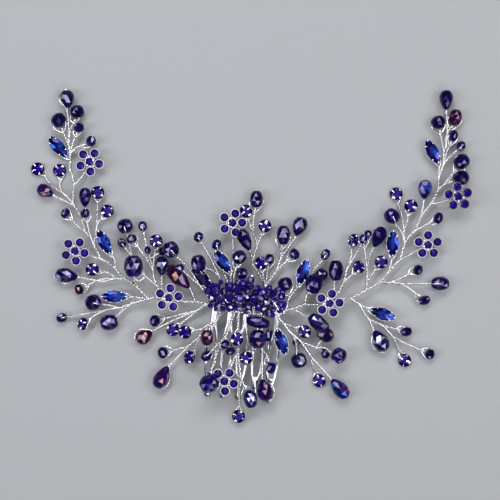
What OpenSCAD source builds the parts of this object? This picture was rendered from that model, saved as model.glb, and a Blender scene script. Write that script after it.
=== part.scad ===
// Hair comb with wings of blue glass beads and claw-set stones on twisted silver wire.
// Sizes are in millimetres. X runs along the wings, Y away from the comb's teeth and
// Z up from the surface that the comb lies on.

/* [Comb] */
// Number of teeth
tooth_count = 5; // [4:1:6]
// Distance from one tooth to the next
tooth_pitch = 6.2; // [6:0.1:6.6]
// Length of a tooth from the bar's middle to its tip
tooth_len = 37.6; // [34:0.2:40]
// Width of a tooth's stem, above its eye
stem_w = 2.2; // [1.6:0.1:2.6]
// Width across a tooth's open eye
eye_w = 5; // [4.4:0.1:5.4]
// Width of the metal on each side of the eye
eye_rim = 1.2; // [0.9:0.1:1.4]
// Thickness of the comb's metal
sheet_t = 0.9; // [0.6:0.1:1.2]
// Radius that the comb is bowed to
bow_r = 112; // [100:1:140]
// Height of the bar's middle above the surface
bar_z = 6.6; // [6.4:0.1:7]
// Width of the bar
bar_w = 2.4; // [1.8:0.1:2.4]
// Turn of the comb seen from above
comb_turn = -6.2; // [-9:0.1:-3]

/* [Wire] */
// Diameter of a twisted pair that carries one bead
twig_d = 0.9; // [0.6:0.1:1]
// Diameter of the gathered wires of a branch
branch_d = 1.1; // [0.8:0.1:1.2]
// Diameter of the wire wound round the bar
coil_d = 0.6; // [0.4:0.1:0.8]

/* [Stones] */
// Diameter of a claw-set round stone
claw_stone_d = 4.6; // [4:0.1:5]
// Length of a pointed stone
navette_len = 9.6; // [9:0.1:10]
// Width of a pointed stone
navette_w = 4.4; // [4:0.1:4.8]
// Diameter of each stone of a flower
petal_stone_d = 3.1; // [2.8:0.1:3.2]
// Diameter of each cup of a flower
petal_cup_d = 4; // [3.8:0.1:4.1]
// Width of a claw
claw_w = 1; // [0.8:0.1:1.2]

/* [Beads] */
// Facets round a bead
bead_sides = 10; // [10:2:12]
// Facets round a drop
drop_sides = 8; // [8:1:10]
// Diameter of the beads massed on the bar
bar_bead_d = 3.4; // [3.2:0.1:3.5]

/* [Hidden] */
$fn = 48;
silver = [0.8, 0.81, 0.83];
bead_blue = [0.13, 0.08, 0.42];
stone_blue = [0.2, 0.12, 0.6];
gap = 0.4;               // clearance between a wire and what it holds
fit = 0.12;              // clearance between a stone and its metal
wire_sides = 5;
wire_step = 4.4;         // length of one straight piece of a bowed wire
overlap = 0.5;           // how far a wire runs on into the next one
cup_wall = 0.35;
cup_depth = 1.5;         // from a stone's girdle to the foot of its setting
crown_share = 0.3;       // crown height as a share of a stone's radius
table_share = 0.58;      // table size as a share of the stone
claw_t = 0.45;
claw_rise = 0.85;        // top of a claw above the girdle
claw_reach = 0.4;        // how far a claw bends in over the stone
petal_count = 5;
petal_ring = 3.9;        // from the middle of a flower to the middle of a petal
petal_h = 1.5;
bar_z_top = 8.75;        // height of the wires that run along the front of the bar
bar_z_back = 5;          // height of the wires that run along the back of the bar
bar_z_under = 3.8;       // height of the wires that run under the bar
bar_mid = [-1.2, -20.2];
bar_len = (tooth_count - 1) * tooth_pitch + 5.6;
eye_start = 8.5;
eye_end = 30;
trees = ["left_wires", "top_wires", "right_wires", "lower_wires"];

// A point given along the bar (u), towards the teeth (v) and up (z)
function on_bar(u, v, z) = [bar_mid[0] + u * cos(comb_turn) + v * sin(comb_turn),
    bar_mid[1] + u * sin(comb_turn) - v * cos(comb_turn), z];

// Where wires join: [name, point, the joint that it runs on to, sideways bow]
left_joints = [
    ["a1", [-72.5, 44.4, 3.6], "a2", 0],
    ["a2", [-72, 41.2, 3.6], "a3", 0],
    ["a3", [-72.2, 35.2, 3.4], "a4", 0.3],
    ["a4", [-70.6, 28.8, 3.2], "a5", -0.3],
    ["a5", [-70.8, 20.8, 3], "a6", 0.4],
    ["a6", [-67.2, 14.4, 3], "a7", 0],
    ["a7", [-65.8, 10, 3], "a8", 0.3],
    ["a8", [-62.6, 4.8, 3.2], "a9", 0],
    ["a9", [-59.6, -0.8, 3.4], "a10", 0.3],
    ["a10", [-54.2, -4.4, 3.6], "a11", -0.2],
    ["a11", [-50, -8.6, 3.8], "a12", 0.2],
    ["a12", [-44.8, -12.4, 4], "a13", 0],
    ["a13", [-40.8, -16.6, 4.2], "a14", 0.4],
    ["a14", [-35.2, -17, 4.2], "a15", 0],
    ["a15", [-26, -17.8, 4.2], "a16", 0],
    ["a16", [-22, -17.8, 4.2], "a17", 0],
    ["a17", [-17.4, -18.8, 3.9], "c1", 0],
    ["b1", [-75.2, 25.8, 2.8], "a5", 0.4],
    ["b2", [-61.6, 11.2, 3], "a8", 0],
    ["b3", [-59.2, -9.8, 3], "b5", 0],
    ["b4", [-47.6, -18.6, 3.4], "a13", 0],
    ["b5", [-54, -8.6, 3.4], "a11", 0],
    ["b6", [-52.8, -20.4, 2.8], "b4", 0],
    ["m1", [-41.2, -1.2, 3.4], "m2", 0],
    ["m2", [-39, -5.2, 3.4], "m4", -0.3],
    ["m3", [-47.6, 0.4, 3], "a12", -0.8],
    ["m4", [-37.2, -12, 3.8], "a14", 0],
    ["y1", [-21.2, -21.4, 3.6], "a17", 0],
    ["c1", on_bar(-14.5, 0, bar_z_under), "c2", 0],
    ["c2", on_bar(-3, 0, bar_z_under), "", 0],
];
top_joints = [
    ["n1", [-20, -11.6, 6.5], "n2", 0],
    ["n2", [-17.2, -15.2, 4.8], "t1", 0],
    ["n3", [-11.6, -10, 3.2], "t2", 0],
    ["n4", [-8.2, -12, 3.2], "t3", 0],
    ["n5", [-6.4, -11.6, 3.2], "t4", 0],
    ["n6", [-0.8, -9.4, 3.2], "t5", 0],
    ["o1", [1.2, 9.6, 3.6], "o2", 0.2],
    ["o2", [2.8, 4.4, 3.6], "o3", -0.3],
    ["o3", [1, -2.8, 3.6], "o4", 0.4],
    ["o4", [6, -12, 3.2], "t6", 0],
    ["p1", [12.2, -0.6, 3.8], "p2", 0],
    ["p2", [10.4, -5.4, 3.6], "o4", 0],
    ["t1", on_bar(-13.4, -2.4, bar_z_back), "t6", 0],
    ["t2", on_bar(-8.4, -2.4, bar_z_back), "", 0],
    ["t3", on_bar(-6, -2.4, bar_z_back), "", 0],
    ["t4", on_bar(-4.2, -2.4, bar_z_back), "", 0],
    ["t5", on_bar(0.4, -2.4, bar_z_back), "", 0],
    ["t6", on_bar(8.2, -2.4, bar_z_back), "", 0],
];
right_joints = [
    ["r1", [78.6, 44.4, 3.4], "r2", 0],
    ["r2", [77.6, 42.4, 3.4], "r3", 0],
    ["r3", [77.5, 36.8, 3.4], "r4", 0],
    ["r4", [75.6, 32, 3.4], "r5", 0],
    ["r5", [75.2, 27, 3.4], "r6", 0.3],
    ["r6", [72.4, 21.4, 3.4], "r7", 0],
    ["r7", [68.4, 16, 3.4], "r8", 0],
    ["r8", [66.2, 10.6, 3.4], "r9", -0.3],
    ["r9", [61.8, 5.2, 3.6], "r10", 0],
    ["r10", [60, -1.2, 3.6], "r11", 0],
    ["r11", [55.6, -5.8, 3.8], "r12", 0],
    ["r12", [52, -10.2, 4], "r13", 0],
    ["r13", [46.2, -13.6, 4.2], "r14", 0],
    ["r14", [40, -16.7, 4.2], "r15", 0],
    ["r15", [37.6, -16.6, 4.2], "r16", 0],
    ["r16", [32.4, -18, 4.2], "r17", 0],
    ["r17", [27.2, -19.2, 4.2], "r18", 0],
    ["r18", [21.8, -19, 4.2], "r19", 0],
    ["r19", [17.2, -20.6, 4.2], "r20", 0],
    ["r20", [14.8, -21, 3.9], "c3", 0],
    ["q1", [15.6, -16.4, 4], "r20", -0.4],
    ["q2", [22.6, -15.2, 4], "r18", 0],
    ["s1", [37.5, -9.8, 4], "r16", 0.4],
    ["s2", [38.6, -5, 4], "s1", 0],
    ["s3", [46.4, -4.4, 7.6], "s4", 0],
    ["s4", [46.4, -10.4, 5.6], "r13", 0],
    ["e1", [61.6, 11.2, 3.6], "r9", 0],
    ["u1", [77.6, 28.8, 3.2], "r5", 0],
    ["v1", [43.8, -19, 4], "r14", 0],
    ["v2", [47.6, -25, 3.6], "v1", 0.3],
    ["v3", [53.2, -27.6, 3.2], "v2", 0],
    ["v4", [57.2, -32, 2.8], "v3", 0],
    ["w1", [56, -10.2, 3.6], "r12", 0],
    ["w2", [61.2, -10.8, 3.2], "w1", 0],
    ["c3", on_bar(14, 0, bar_z_under), "c4", 0],
    ["c4", on_bar(1, 0, bar_z_under), "", 0],
];
lower_joints = [
    ["y2", [-17.4, -27.2, 8.4], "y4", 0],
    ["y3", [-20.2, -31.4, 6.4], "y4", 0.4],
    ["y4", [-13.2, -25.2, 8.4], "l1", 0],
    ["y5", [-24.8, -35.6, 4.4], "y3", 0],
    ["z1", [-9.6, -31.2, 8], "l2", 0],
    ["z2", [-5, -37.6, 7], "l3", 0],
    ["z3", [-4, -46, 5.6], "z2", 0],
    ["z4", [3.6, -35.2, 7.4], "l4", 0.4],
    ["z5", [4.8, -36.8, 7.2], "z4", 0],
    ["z6", [-14.8, -43.6, 9.6], "z1", 0.6],
    ["x1", [13.2, -26.4, 7.6], "l5", 0],
    ["x2", [15.6, -29.6, 6.8], "x1", 0],
    ["x3", [20.2, -33.8, 5.6], "x2", 0],
    ["x4", [26.4, -36.4, 4.4], "x3", 0],
    ["x5", [24.4, -40, 4], "x3", 0],
    ["l1", on_bar(-10, 2, bar_z_top), "l5", 0],
    ["l2", on_bar(-4.6, 2, bar_z_top), "", 0],
    ["l3", on_bar(-3, 2, bar_z_top), "", 0],
    ["l4", on_bar(6.4, 2, bar_z_top), "", 0],
    ["l5", on_bar(12, 2, bar_z_top), "", 0],
];
joints = concat(left_joints, top_joints, right_joints, lower_joints);
tree_joints = [left_joints, top_joints, right_joints, lower_joints];

// Round and oval beads: [x, y, z, length along the hole, width, turn, joint, stem bow]
beads = [
    [-69.2, 58.2, 3.2, 5.2, 5.4, 20, "a1", -0.9],
    [-76.6, 54.8, 3.4, 5.6, 5.8, 40, "a1", 0],
    [-68.4, 51.8, 4, 3.8, 4.2, 10, "a2", -0.4],
    [-63.6, 46.4, 3.6, 4, 4.2, 80, "a2", -0.8],
    [-74, 17.6, 3, 4, 3.6, 60, "a7", -0.4],
    [-65.6, 17.4, 7, 3.6, 4, 90, "a8", -0.5],
    [-68.6, -13, 2.4, 4, 3.8, 100, "b5", 1.4],
    [-62.8, -18.2, 3.4, 6, 6.4, 30, "b6", 0.3],
    [-75.6, -24.4, 2.2, 4, 4, 20, "b6", 0],
    [-56.4, -26.2, 3.4, 6.8, 6.4, 10, "b4", 0.3],
    [-50, 12.4, 3.4, 5.8, 6, 20, "m3", 0.3],
    [-47.2, 7.2, 5.6, 4, 3.8, 30, "m1", 0],
    [-51.4, 5.6, 2.4, 3.6, 3.6, 130, "m3", 0],
    [-46.2, -3.6, 8.6, 8.4, 7.6, 90, "m4", 0],
    [-43, 12.4, 3, 3.8, 3.8, 100, "m1", 0.3],
    [-40.8, 2.8, 5.6, 2.8, 2.8, 90, "m2", 0],
    [-35, 2.3, 3.4, 3.2, 3.2, 60, "m1", 0],
    [-31.4, 3, 6.6, 6.2, 6.4, 110, "n1", 0.8],
    [-27.8, -4.4, 11, 3.6, 3.6, 40, "n1", 0],
    [-20.4, -2.4, 9, 6.4, 6, 100, "n3", 1.2],
    [-20.6, 8, 5, 4, 4, 60, "n3", 0.4],
    [-38.2, -25.6, 2.5, 4.4, 4.4, 90, "y1", 0],
    [-35, -38.4, 2.6, 4.4, 4.4, 90, "y5", 0],
    [-17, -31.8, 10.2, 6, 5.2, 90, "y4", 0],
    [-17.2, -39.2, 8.2, 4.4, 4.2, 40, "z1", 0],
    [2.6, 23.2, 3.6, 6.4, 5.2, 90, "o1", -0.4],
    [13.4, 8.8, 3.6, 7.4, 5.4, 90, "p1", 0],
    [17.8, 1.2, 4, 4.2, 4.2, 120, "p2", 0],
    [7.8, -0.8, 2.6, 4, 4, 80, "o4", 0],
    [-13.4, 5, 3, 4, 3.8, 60, "n4", -0.4],
    [-4.2, 0, 6.8, 5.4, 5.4, 30, "n5", -0.9],
    [-3.2, -6.6, 4, 4.4, 4.6, 90, "n6", 0],
    [14, -10.8, 5.6, 5.6, 5.6, 20, "q1", 0],
    [25.4, -10.6, 8.6, 7.6, 6.8, 70, "q2", 0],
    [28.6, -7.2, 2.9, 5, 5.2, 60, "q2", 0],
    [34.4, -5.4, 4.4, 8, 6, 92, "r16", 0.3],
    [30.2, 1, 4, 4.4, 3.8, 60, "q2", -1.8],
    [3.2, -25.7, 11.4, 9, 4.6, -10, "l4", 0],
    [3, -32.2, 12.2, 7, 6.8, 90, "z4", 0],
    [7.4, -30.8, 9.4, 5, 3.2, 80, "z4", 0],
    [-9.8, -34.4, 10.6, 3.6, 3.4, 60, "z1", 0],
    [-7.8, -37.2, 9, 3.6, 3.4, 20, "z1", 0],
    [-16, -49.6, 12.6, 7.2, 7.2, 30, "z6", 0],
    [0.2, -56.6, 5.7, 6.8, 5.4, 100, "z3", 0.5],
    [8.4, -44, 7.8, 4.4, 4, 80, "z5", -0.6],
    [27.2, -26.2, 8.4, 9, 5.8, -40, "r19", 0],
    [30.2, -31, 3.6, 6.4, 6, -30, "x4", 0],
    [18.6, -34, 3, 3.2, 3.2, 40, "x3", 0],
    [19.6, -41.4, 3.6, 6, 6.2, 20, "x2", -1],
    [30.4, -38.6, 2.6, 4, 4, 80, "x4", 0],
    [35.4, -39.2, 6.4, 6, 6, 60, "x4", -1.2],
    [82.3, 55.9, 3.2, 6.2, 5.2, 80, "r1", -1.2],
    [75.4, 54, 3, 5.4, 5.4, 20, "r2", 0],
    [81.6, 48.6, 3, 4.2, 3.8, 80, "r3", -0.4],
    [84.6, 44.4, 3, 3.8, 3.8, 60, "r3", -0.4],
    [84.8, 38.2, 3.4, 6, 6, 30, "u1", 0],
    [84.6, 31.6, 3.2, 6, 6, 20, "u1", 0],
    [56.8, 16.4, 3.6, 6, 6, 140, "r9", 0.8],
    [75.4, 15.6, 3.4, 4.4, 4, 70, "r8", 0],
    [45, 7.2, 7.2, 3.6, 3.6, 90, "s3", 0],
    [47, 9, 4.4, 3.4, 3.4, 60, "s2", 0],
    [67.4, -5.2, 2.4, 4, 4, 60, "w1", 0.3],
    [76.2, -10.6, 3.2, 6.8, 5.6, 0, "w2", 0],
    [70, -17.4, 2.4, 4.4, 4, 20, "w2", 0],
    [62.8, -30, 2.4, 4.2, 4, 20, "v3", 0],
    [72.2, -39, 2.4, 4, 4, 70, "v4", 0.3],
];

// Drops: [x, y, z, length, width, turn of the tip, joint, stem bow]
drops = [
    [-73.2, 63.2, 3.4, 7.2, 5.6, -90, "a1", 0.2],
    [-82, 26.4, 3, 6.8, 5.4, -27, "a5", 0],
    [-65.8, 23.8, 5.4, 7.6, 5, -90, "a6", 0],
    [-73.4, -7.4, 3.4, 8.8, 6, -8, "b3", 0],
    [-35.3, -3.6, 3.2, 7.6, 5.4, -90, "a14", 0],
    [-28.4, -8, 6.8, 11.8, 6.4, -45, "a16", 0],
    [-42.2, -31.8, 3.4, 7, 6, 35, "y1", 0.4],
    [-35.2, -48, 3.4, 9.6, 6, 60, "y5", 0],
    [19.8, 12.2, 3.6, 7.6, 6, -110, "p1", 0],
    [-2, 6.8, 8.8, 8.8, 5.4, -65, "o3", 0],
    [5.8, -52.8, 6.9, 8.8, 6.4, 103, "z5", 0],
    [35.8, -52.6, 3.4, 9.4, 6, 132, "x5", 0],
    [78.6, 62.9, 3.4, 7.8, 5.6, -90, "r1", 0.4],
    [70, 27, 4, 7.6, 5.6, -96, "r7", 0],
    [51.4, 8, 4, 8.6, 5.6, -115, "s3", 0],
    [52, -33.4, 3.6, 9, 6.4, 121, "v2", 0],
];

// Claw-set round stones: [x, y, z of the girdle, lean, way it leans, joint, stem bow]
claws = [
    [-85.4, 35.4, 1.5, 0, 0, "b1", -0.8],
    [-76.6, 34.8, 1.5, 0, 0, "b1", -0.6],
    [-61, 25.8, 3.4, 0, 0, "b2", 0],
    [-57.2, 18.4, 3.4, 0, 0, "b2", -0.8],
    [-63.2, -5, 3.4, 0, 0, "b5", 1.2],
    [-67.2, -26.8, 3.6, 40, 155, "b6", 1],
    [-37.6, 6.4, 3.8, 0, 0, "m2", 0],
    [-31, -29.2, 2.6, 0, 0, "y1", 0],
    [-26, -30, 6.2, 20, 200, "y2", -0.6],
    [-24.4, -40.2, 4, 35, 160, "y3", 0],
    [-1.6, 18.4, 2.3, 0, 0, "o1", 0],
    [6, 12.4, 3.6, 0, 0, "o2", 0],
    [4.4, -2.4, 6.4, 15, 200, "o4", 0],
    [-5.2, -32.4, 10.2, 0, 0, "l3", 0],
    [-1.6, -40, 8.8, 15, 240, "z4", 0],
    [-4.6, -63.9, 2.9, 0, 0, "z3", 0],
    [21.8, -29.8, 5.4, 0, 0, "x1", 0],
    [27.8, -49.8, 1.5, 0, 0, "x5", 0.6],
    [58.8, 25.4, 1.5, 0, 0, "e1", 0.4],
    [64.4, 20.4, 4.2, 0, 0, "e1", 0.4],
    [41.6, 6.6, 4, 40, 0, "s2", 0.6],
    [43.6, -4, 3.8, 30, 30, "s1", 0],
    [52.6, -2, 3.6, 0, 0, "s4", 0],
    [62.2, -41.6, 1.5, 0, 0, "v4", 0],
];

// Pointed stones: [x, y, z of the girdle, turn, joint, stem bow]
navettes = [
    [-76.9, 44.2, 3.2, -49, "a3", 0.5],
    [-58.2, 6, 5.6, -63, "a10", 0.8],
    [-54.4, -15.8, 4, 0, "a13", 0],
    [-19.4, -8.2, 4.6, -47, "t1", 0],
    [-11, -1.8, 5.8, -56, "n4", 0],
    [21.2, -6, 4.6, 72, "q1", 0],
    [12.4, -33.6, 9.6, -70, "l5", 0],
    [73.2, 42.2, 3.6, -63, "r4", 0],
    [57.2, 5.4, 3.8, 88, "r11", 0],
    [53.2, -22.8, 4.4, -18, "v1", 0],
];

// Six-stone flowers: [x, y, z of the backs, turn, joint, stem bow]
flowers = [
    [-64, 38, 4, 59, "a4", 0.6],
    [-69.8, 2.4, 4.2, 60, "a9", 0],
    [-32.2, -16.2, 6.6, 81, "a15", 0],
    [-7, 13.6, 4, 1, "n5", 0],
    [31.6, -18.4, 6.4, 76, "r17", 0],
    [-10.2, -49.2, 7.1, 58, "z2", 0],
    [82.6, 24, 6.6, 95, "r6", 0.4],
    [71, 4.8, 4, 90, "r10", 0],
];

// Beads massed over the bar: [x, y, z]
bar_bead_spots = [
    [-15, -16.4, 9.6],
    [-16.6, -13.4, 7.8],
    [-13.2, -12, 6.4],
    [-10.4, -13.6, 8.4],
    [-10, -17.6, 10.4],
    [-6.3, -17.2, 9.8],
    [-6, -14, 7.6],
    [-4.6, -10.4, 6.2],
    [-2.4, -10.4, 9.2],
    [0.2, -9.2, 6.2],
    [-1.2, -12.9, 6.2],
    [-4.8, -12.8, 10.9],
    [-1.6, -16, 8.2],
    [2.4, -14, 6.4],
    [1.6, -16.8, 9.9],
    [4.6, -16.6, 7.7],
    [5.8, -13.6, 9.5],
    [9.2, -14.4, 7.2],
    [6.4, -18, 10.7],
    [10, -17.6, 9.4],
    [12.9, -18.8, 11.3],
    [7.2, -21.7, 10.8],
    [-12.6, -15.4, 12.2],
    [-8, -15.9, 12.9],
    [-12.6, -19.2, 12.4],
    [-4, -16.3, 12.5],
    [-8.2, -11.8, 11.7],
    [-0.6, -19.3, 11.4],
    [3.6, -19.6, 12.4],
    [12.6, -15.6, 7.6],
    [-8, -19.8, 12.5],
];

function two(i) = i < 9 ? str("0", i + 1) : str(i + 1);
function unit(v) = v / norm(v);
function joint_row(name) = joints[search([name], joints)[0]];
function joint_at(name) = joint_row(name)[1];
function tree_of(name) = [for (t = [0 : len(trees) - 1])
    if (len([for (j = tree_joints[t]) if (j[0] == name) j]) > 0) t][0];
function way(turn) = [cos(turn), sin(turn), 0];

// Solid of rings stacked along X: rows of [x, radius], each ring half a facet on from the last
module stacked(rows, sides) {
    n = len(rows);
    points = [for (k = [0 : n - 1], i = [0 : sides - 1])
        [rows[k][0], rows[k][1] * cos(360 * (i + k / 2) / sides),
            rows[k][1] * sin(360 * (i + k / 2) / sides)]];
    bands = [for (k = [0 : n - 2], i = [0 : sides - 1])
        let (a = k * sides, b = a + sides, next = (i + 1) % sides)
        each [[a + i, b + i, a + next], [a + next, b + i, b + next]]];
    polyhedron(points, concat(bands, [[for (i = [0 : sides - 1]) i]],
        [[for (i = [sides - 1 : -1 : 0]) (n - 1) * sides + i]]));
}

// Round wire along a path of points
module wire(path, d) {
    n = len(path);
    rings = [for (k = [0 : n - 1])
        let (along = unit(path[min(k + 1, n - 1)] - path[max(k - 1, 0)]),
            side = unit(cross([0, 0, 1], along)), up = cross(along, side))
        each [for (i = [0 : wire_sides - 1]) let (a = 360 * i / wire_sides)
            path[k] + d / 2 * (cos(a) * side + sin(a) * up)]];
    bands = [for (k = [0 : n - 2], i = [0 : wire_sides - 1])
        let (a = k * wire_sides, b = a + wire_sides, next = (i + 1) % wire_sides)
        each [[a + i, b + i, a + next], [a + next, b + i, b + next]]];
    polyhedron(rings, concat(bands, [[for (i = [0 : wire_sides - 1]) i]],
        [[for (i = [wire_sides - 1 : -1 : 0]) (n - 1) * wire_sides + i]]));
}

// Points from a to b that bow sideways by s at the middle
function bowed(a, b, s) = let (d = b - a, side = unit([-d[1], d[0], 0]),
    n = s == 0 ? 1 : max(2, round(norm(d) / wire_step)))
    [for (i = [0 : n]) a + d * i / n + side * 4 * s * (i / n) * (1 - i / n)];
// The same path with its last piece run on a little, into the wire it joins
function run_on(path) = let (n = len(path))
    [for (i = [0 : n - 1]) i < n - 1 ? path[i]
        : path[i] + overlap * unit(path[i] - path[i - 1])];

// Rings of a bead: [share of the length, share of the width]
function bead_rows(w) = w > 4.5 ? [[-0.5, 0.27], [-0.18, 0.5], [0.18, 0.5], [0.5, 0.27]]
    : [[-0.5, 0.27], [0, 0.5], [0.5, 0.27]];
// Distance from a bead's middle to its surface in a direction split along and across
function bead_reach(long, w, along, across) = let (rows = bead_rows(w), n = len(rows),
    ring = rows[n - 2], face = rows[n - 1])
    min(ring[1] * w / across, face[0] * long / along,
        (ring[1] * face[0] - ring[0] * face[1]) * w * long
        / ((ring[1] - face[1]) * w * along + (face[0] - ring[0]) * long * across));

// Where each stem starts, just clear of what it holds
function bead_seat(b) = let (p = [b[0], b[1], b[2]], d = unit(joint_at(b[6]) - p),
    along = abs(d * way(b[5])), across = sqrt(1 - along * along))
    p + d * (bead_reach(b[3], b[4], along, across) + gap);
function drop_seat(b) = [b[0], b[1], b[2]] + way(b[5]) * (b[3] / 2 + gap);
function claw_seat(c) = let (p = [c[0], c[1], c[2]], d = joint_at(c[5]) - p,
    normal = sin(c[3]) * way(c[4]) + [0, 0, cos(c[3])])
    p - normal * cup_depth / 2
        + unit(d - normal * (d * normal)) * (claw_stone_d / 2 + fit + claw_t + gap);
function navette_seat(s) = let (p = [s[0], s[1], s[2] - cup_depth / 2],
    end = (joint_at(s[4]) - p) * way(s[3]) > 0 ? 1 : -1)
    p + way(s[3]) * end * (navette_len / 2 + 2 * fit + 2 * cup_wall + gap);
function flower_seat(f) = let (p = [f[0], f[1], f[2]], to = joint_at(f[4]) - p)
    p + unit([to[0], to[1], 0]) * petal_ring / 2 - [0, 0, gap + twig_d / 2];

// Every stem as [start, joint, bow]
stems = concat([for (b = beads) [bead_seat(b), b[6], b[7]]],
    [for (b = drops) [drop_seat(b), b[6], b[7]]],
    [for (c = claws) [claw_seat(c), c[5], c[6]]],
    [for (s = navettes) [navette_seat(s), s[4], s[5]]],
    [for (f = flowers) [flower_seat(f), f[4], f[5]]]);

module wire_tree(t) {
    color(silver) union() {
        for (j = tree_joints[t]) if (j[2] != "")
            wire(run_on(bowed(j[1], joint_at(j[2]), j[3])), branch_d);
        for (s = stems) if (tree_of(s[1]) == t)
            wire(run_on(bowed(s[0], joint_at(s[1]), s[2])), twig_d);
    }
}

// Faceted bead with its hole along X
module cut_bead(long, w) {
    stacked([for (r = bead_rows(w)) [r[0] * long, r[1] * w]], bead_sides);
}

module bead_field(t) {
    color(bead_blue) for (b = beads) if (tree_of(b[6]) == t)
        translate([b[0], b[1], b[2]]) rotate([0, 0, b[5]]) cut_bead(b[3], b[4]);
}

// Faceted drop with its tip at +X
module cut_drop(long, w) {
    rows = [[-0.5, 0.25], [-0.2, 0.5], [0.16, 0.38], [0.5, 0.08]];
    stacked([for (r = rows) [r[0] * long, r[1] * w]], drop_sides);
}

module drop_field(which) {
    color(bead_blue) for (b = drops)
        if (len([for (t = which) if (tree_of(b[6]) == t) t]) > 0)
            translate([b[0], b[1], b[2]]) rotate([0, 0, b[5]]) cut_drop(b[3], b[4]);
}

// Outline of a pointed stone, half length a and half width b
function lens(a, b, sides) = [for (i = [0 : sides - 1]) let (t = 360 * i / sides)
    [a * cos(t), b * sin(t) * (1 - 0.3 * pow(cos(t), 2))]];

// Cut stone on a flat outline: table, girdle and a point below
module cut_stone(outline, crown, depth) {
    n = len(outline);
    table = [for (p = outline) [p[0] * table_share, p[1] * table_share, crown]];
    girdle = [for (p = outline) [p[0], p[1], 0]];
    sides = [for (i = [0 : n - 1]) let (next = (i + 1) % n)
        each [[i, next, n + i], [next, n + next, n + i], [n + i, n + next, 2 * n]]];
    polyhedron(concat(table, girdle, [[0, 0, -depth]]),
        concat([[for (i = [n - 1 : -1 : 0]) i]], sides));
}

// Claw that stands at x = r, bends in over the stone and points back to the middle
module claw(r) {
    foot = cup_depth * 0.7;
    translate([r, -claw_w / 2, -foot]) cube([claw_t, claw_w, foot + claw_rise]);
    translate([r - claw_reach, -claw_w / 2, claw_rise - 0.35])
        cube([claw_reach + claw_t, claw_w, 0.35]);
}

module claw_stone(c) {
    r = claw_stone_d / 2;
    translate([c[0], c[1], c[2]]) rotate([0, 0, c[4]]) rotate([0, c[3], 0]) {
        color(stone_blue) cut_stone([for (i = [0 : 9]) r * way(i * 36)],
            r * crown_share, cup_depth * 0.6);
        color(silver) union() {
            difference() {
                translate([0, 0, -cup_depth]) cylinder(h = cup_depth, r = r + fit + cup_wall);
                translate([0, 0, -cup_depth + 0.4]) cylinder(h = cup_depth, r = r + fit);
            }
            for (a = [45 : 90 : 315]) rotate([0, 0, a]) claw(r + fit + 0.02);
        }
    }
}

module navette(s) {
    a = navette_len / 2;
    b = navette_w / 2;
    translate([s[0], s[1], s[2]]) rotate([0, 0, s[3]]) {
        color(stone_blue) cut_stone(lens(a, b, 10), b * crown_share * 1.2, cup_depth * 0.6);
        color(silver) union() {
            difference() {
                translate([0, 0, -cup_depth]) linear_extrude(cup_depth - 0.1)
                    polygon(lens(a + 2 * fit + 2 * cup_wall, b + fit + 1.4 * cup_wall, 20));
                translate([0, 0, -cup_depth + 0.4]) linear_extrude(cup_depth)
                    polygon(lens(a + 2 * fit, b + fit, 20));
            }
            for (x = [-1, 1], y = [-1, 1])
                translate([x * a * 0.62, 0, 0]) rotate([0, 0, y * 90]) claw(b * 0.81);
        }
    }
}

module flower(f) {
    r = petal_stone_d / 2;
    spots = concat([[0, 0, 0]],
        [for (i = [0 : petal_count - 1]) petal_ring * way(i * 360 / petal_count)]);
    translate([f[0], f[1], f[2]]) rotate([0, 0, f[3]]) {
        color(silver) difference() {
            for (p = spots) translate(p) cylinder(h = petal_h, r = petal_cup_d / 2);
            for (p = spots) translate(p + [0, 0, 0.4]) cylinder(h = petal_h, r = r + fit);
        }
        color(stone_blue) for (p = spots) translate(p + [0, 0, petal_h - 0.3])
            cut_stone([for (i = [0 : 7]) r * way(i * 45)], r * crown_share * 1.3, 0.7);
    }
}

// Half outline of a tooth: [distance from the bar, share of the way out to the eye's width]
tooth_side = [[eye_start - 1.5, 0], [eye_start + 2, 0.5], [eye_start + 6, 0.92],
    [eye_start + 10, 1], [eye_start + 14, 0.94], [eye_start + 18, 0.62], [eye_end + 0.8, 0]];
function half_w(share) = stem_w / 2 + share * (eye_w - stem_w) / 2;

// Right-hand edge of a tooth from the bar to the tip
function tooth_edge(r) = concat([[r, 0]], [for (p = tooth_side) [half_w(p[1]), -p[0]]],
    [for (a = [0 : 15 : 90]) [r * cos(a), -tooth_len + r - r * sin(a)]]);
function mirrored(edge) = [for (i = [len(edge) - 1 : -1 : 0]) [-edge[i][0], edge[i][1]]];

module tooth_outline() {
    edge = tooth_edge(stem_w / 2);
    eye = [for (i = [1 : 5]) [half_w(tooth_side[i][1]) - eye_rim, -tooth_side[i][0] - 0.6]];
    difference() {
        polygon(concat(edge, mirrored([for (i = [0 : len(edge) - 2]) edge[i]])));
        polygon(concat([[0, -eye_start]], eye, mirrored(eye)));
    }
}

module comb() {
    level_v = 3;        // distance from the bar at which the bowed metal lies level
    color(silver) translate(on_bar(0, 0, 0)) rotate([0, 0, comb_turn]) intersection() {
        union() {
            translate([-bar_len / 2, -bar_w / 2, 0]) cube([bar_len, bar_w, bar_z + 2]);
            for (i = [0 : tooth_count - 1])
                translate([(i - (tooth_count - 1) / 2) * tooth_pitch, 0, 0])
                    linear_extrude(bar_z + 2) tooth_outline();
        }
        translate([-bar_len, -level_v, bar_z - bow_r]) rotate([0, 90, 0]) difference() {
            cylinder(h = 2 * bar_len, r = bow_r + sheet_t / 2, $fn = 96);
            translate([0, 0, -1]) cylinder(h = 2 * bar_len + 2, r = bow_r - sheet_t / 2, $fn = 96);
        }
    }
}

// Wire wound tightly round the bar between two teeth, as a ribbed sleeve
module sleeve(turns) {
    r = bar_w / 2 + 0.26;
    rotate_extrude() union() {
        translate([r, 0]) square([coil_d / 2, turns * coil_d]);
        for (i = [0 : turns - 1])
            translate([r + coil_d / 2, (i + 0.5) * coil_d]) circle(coil_d / 2, $fn = 16);
    }
}

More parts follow.
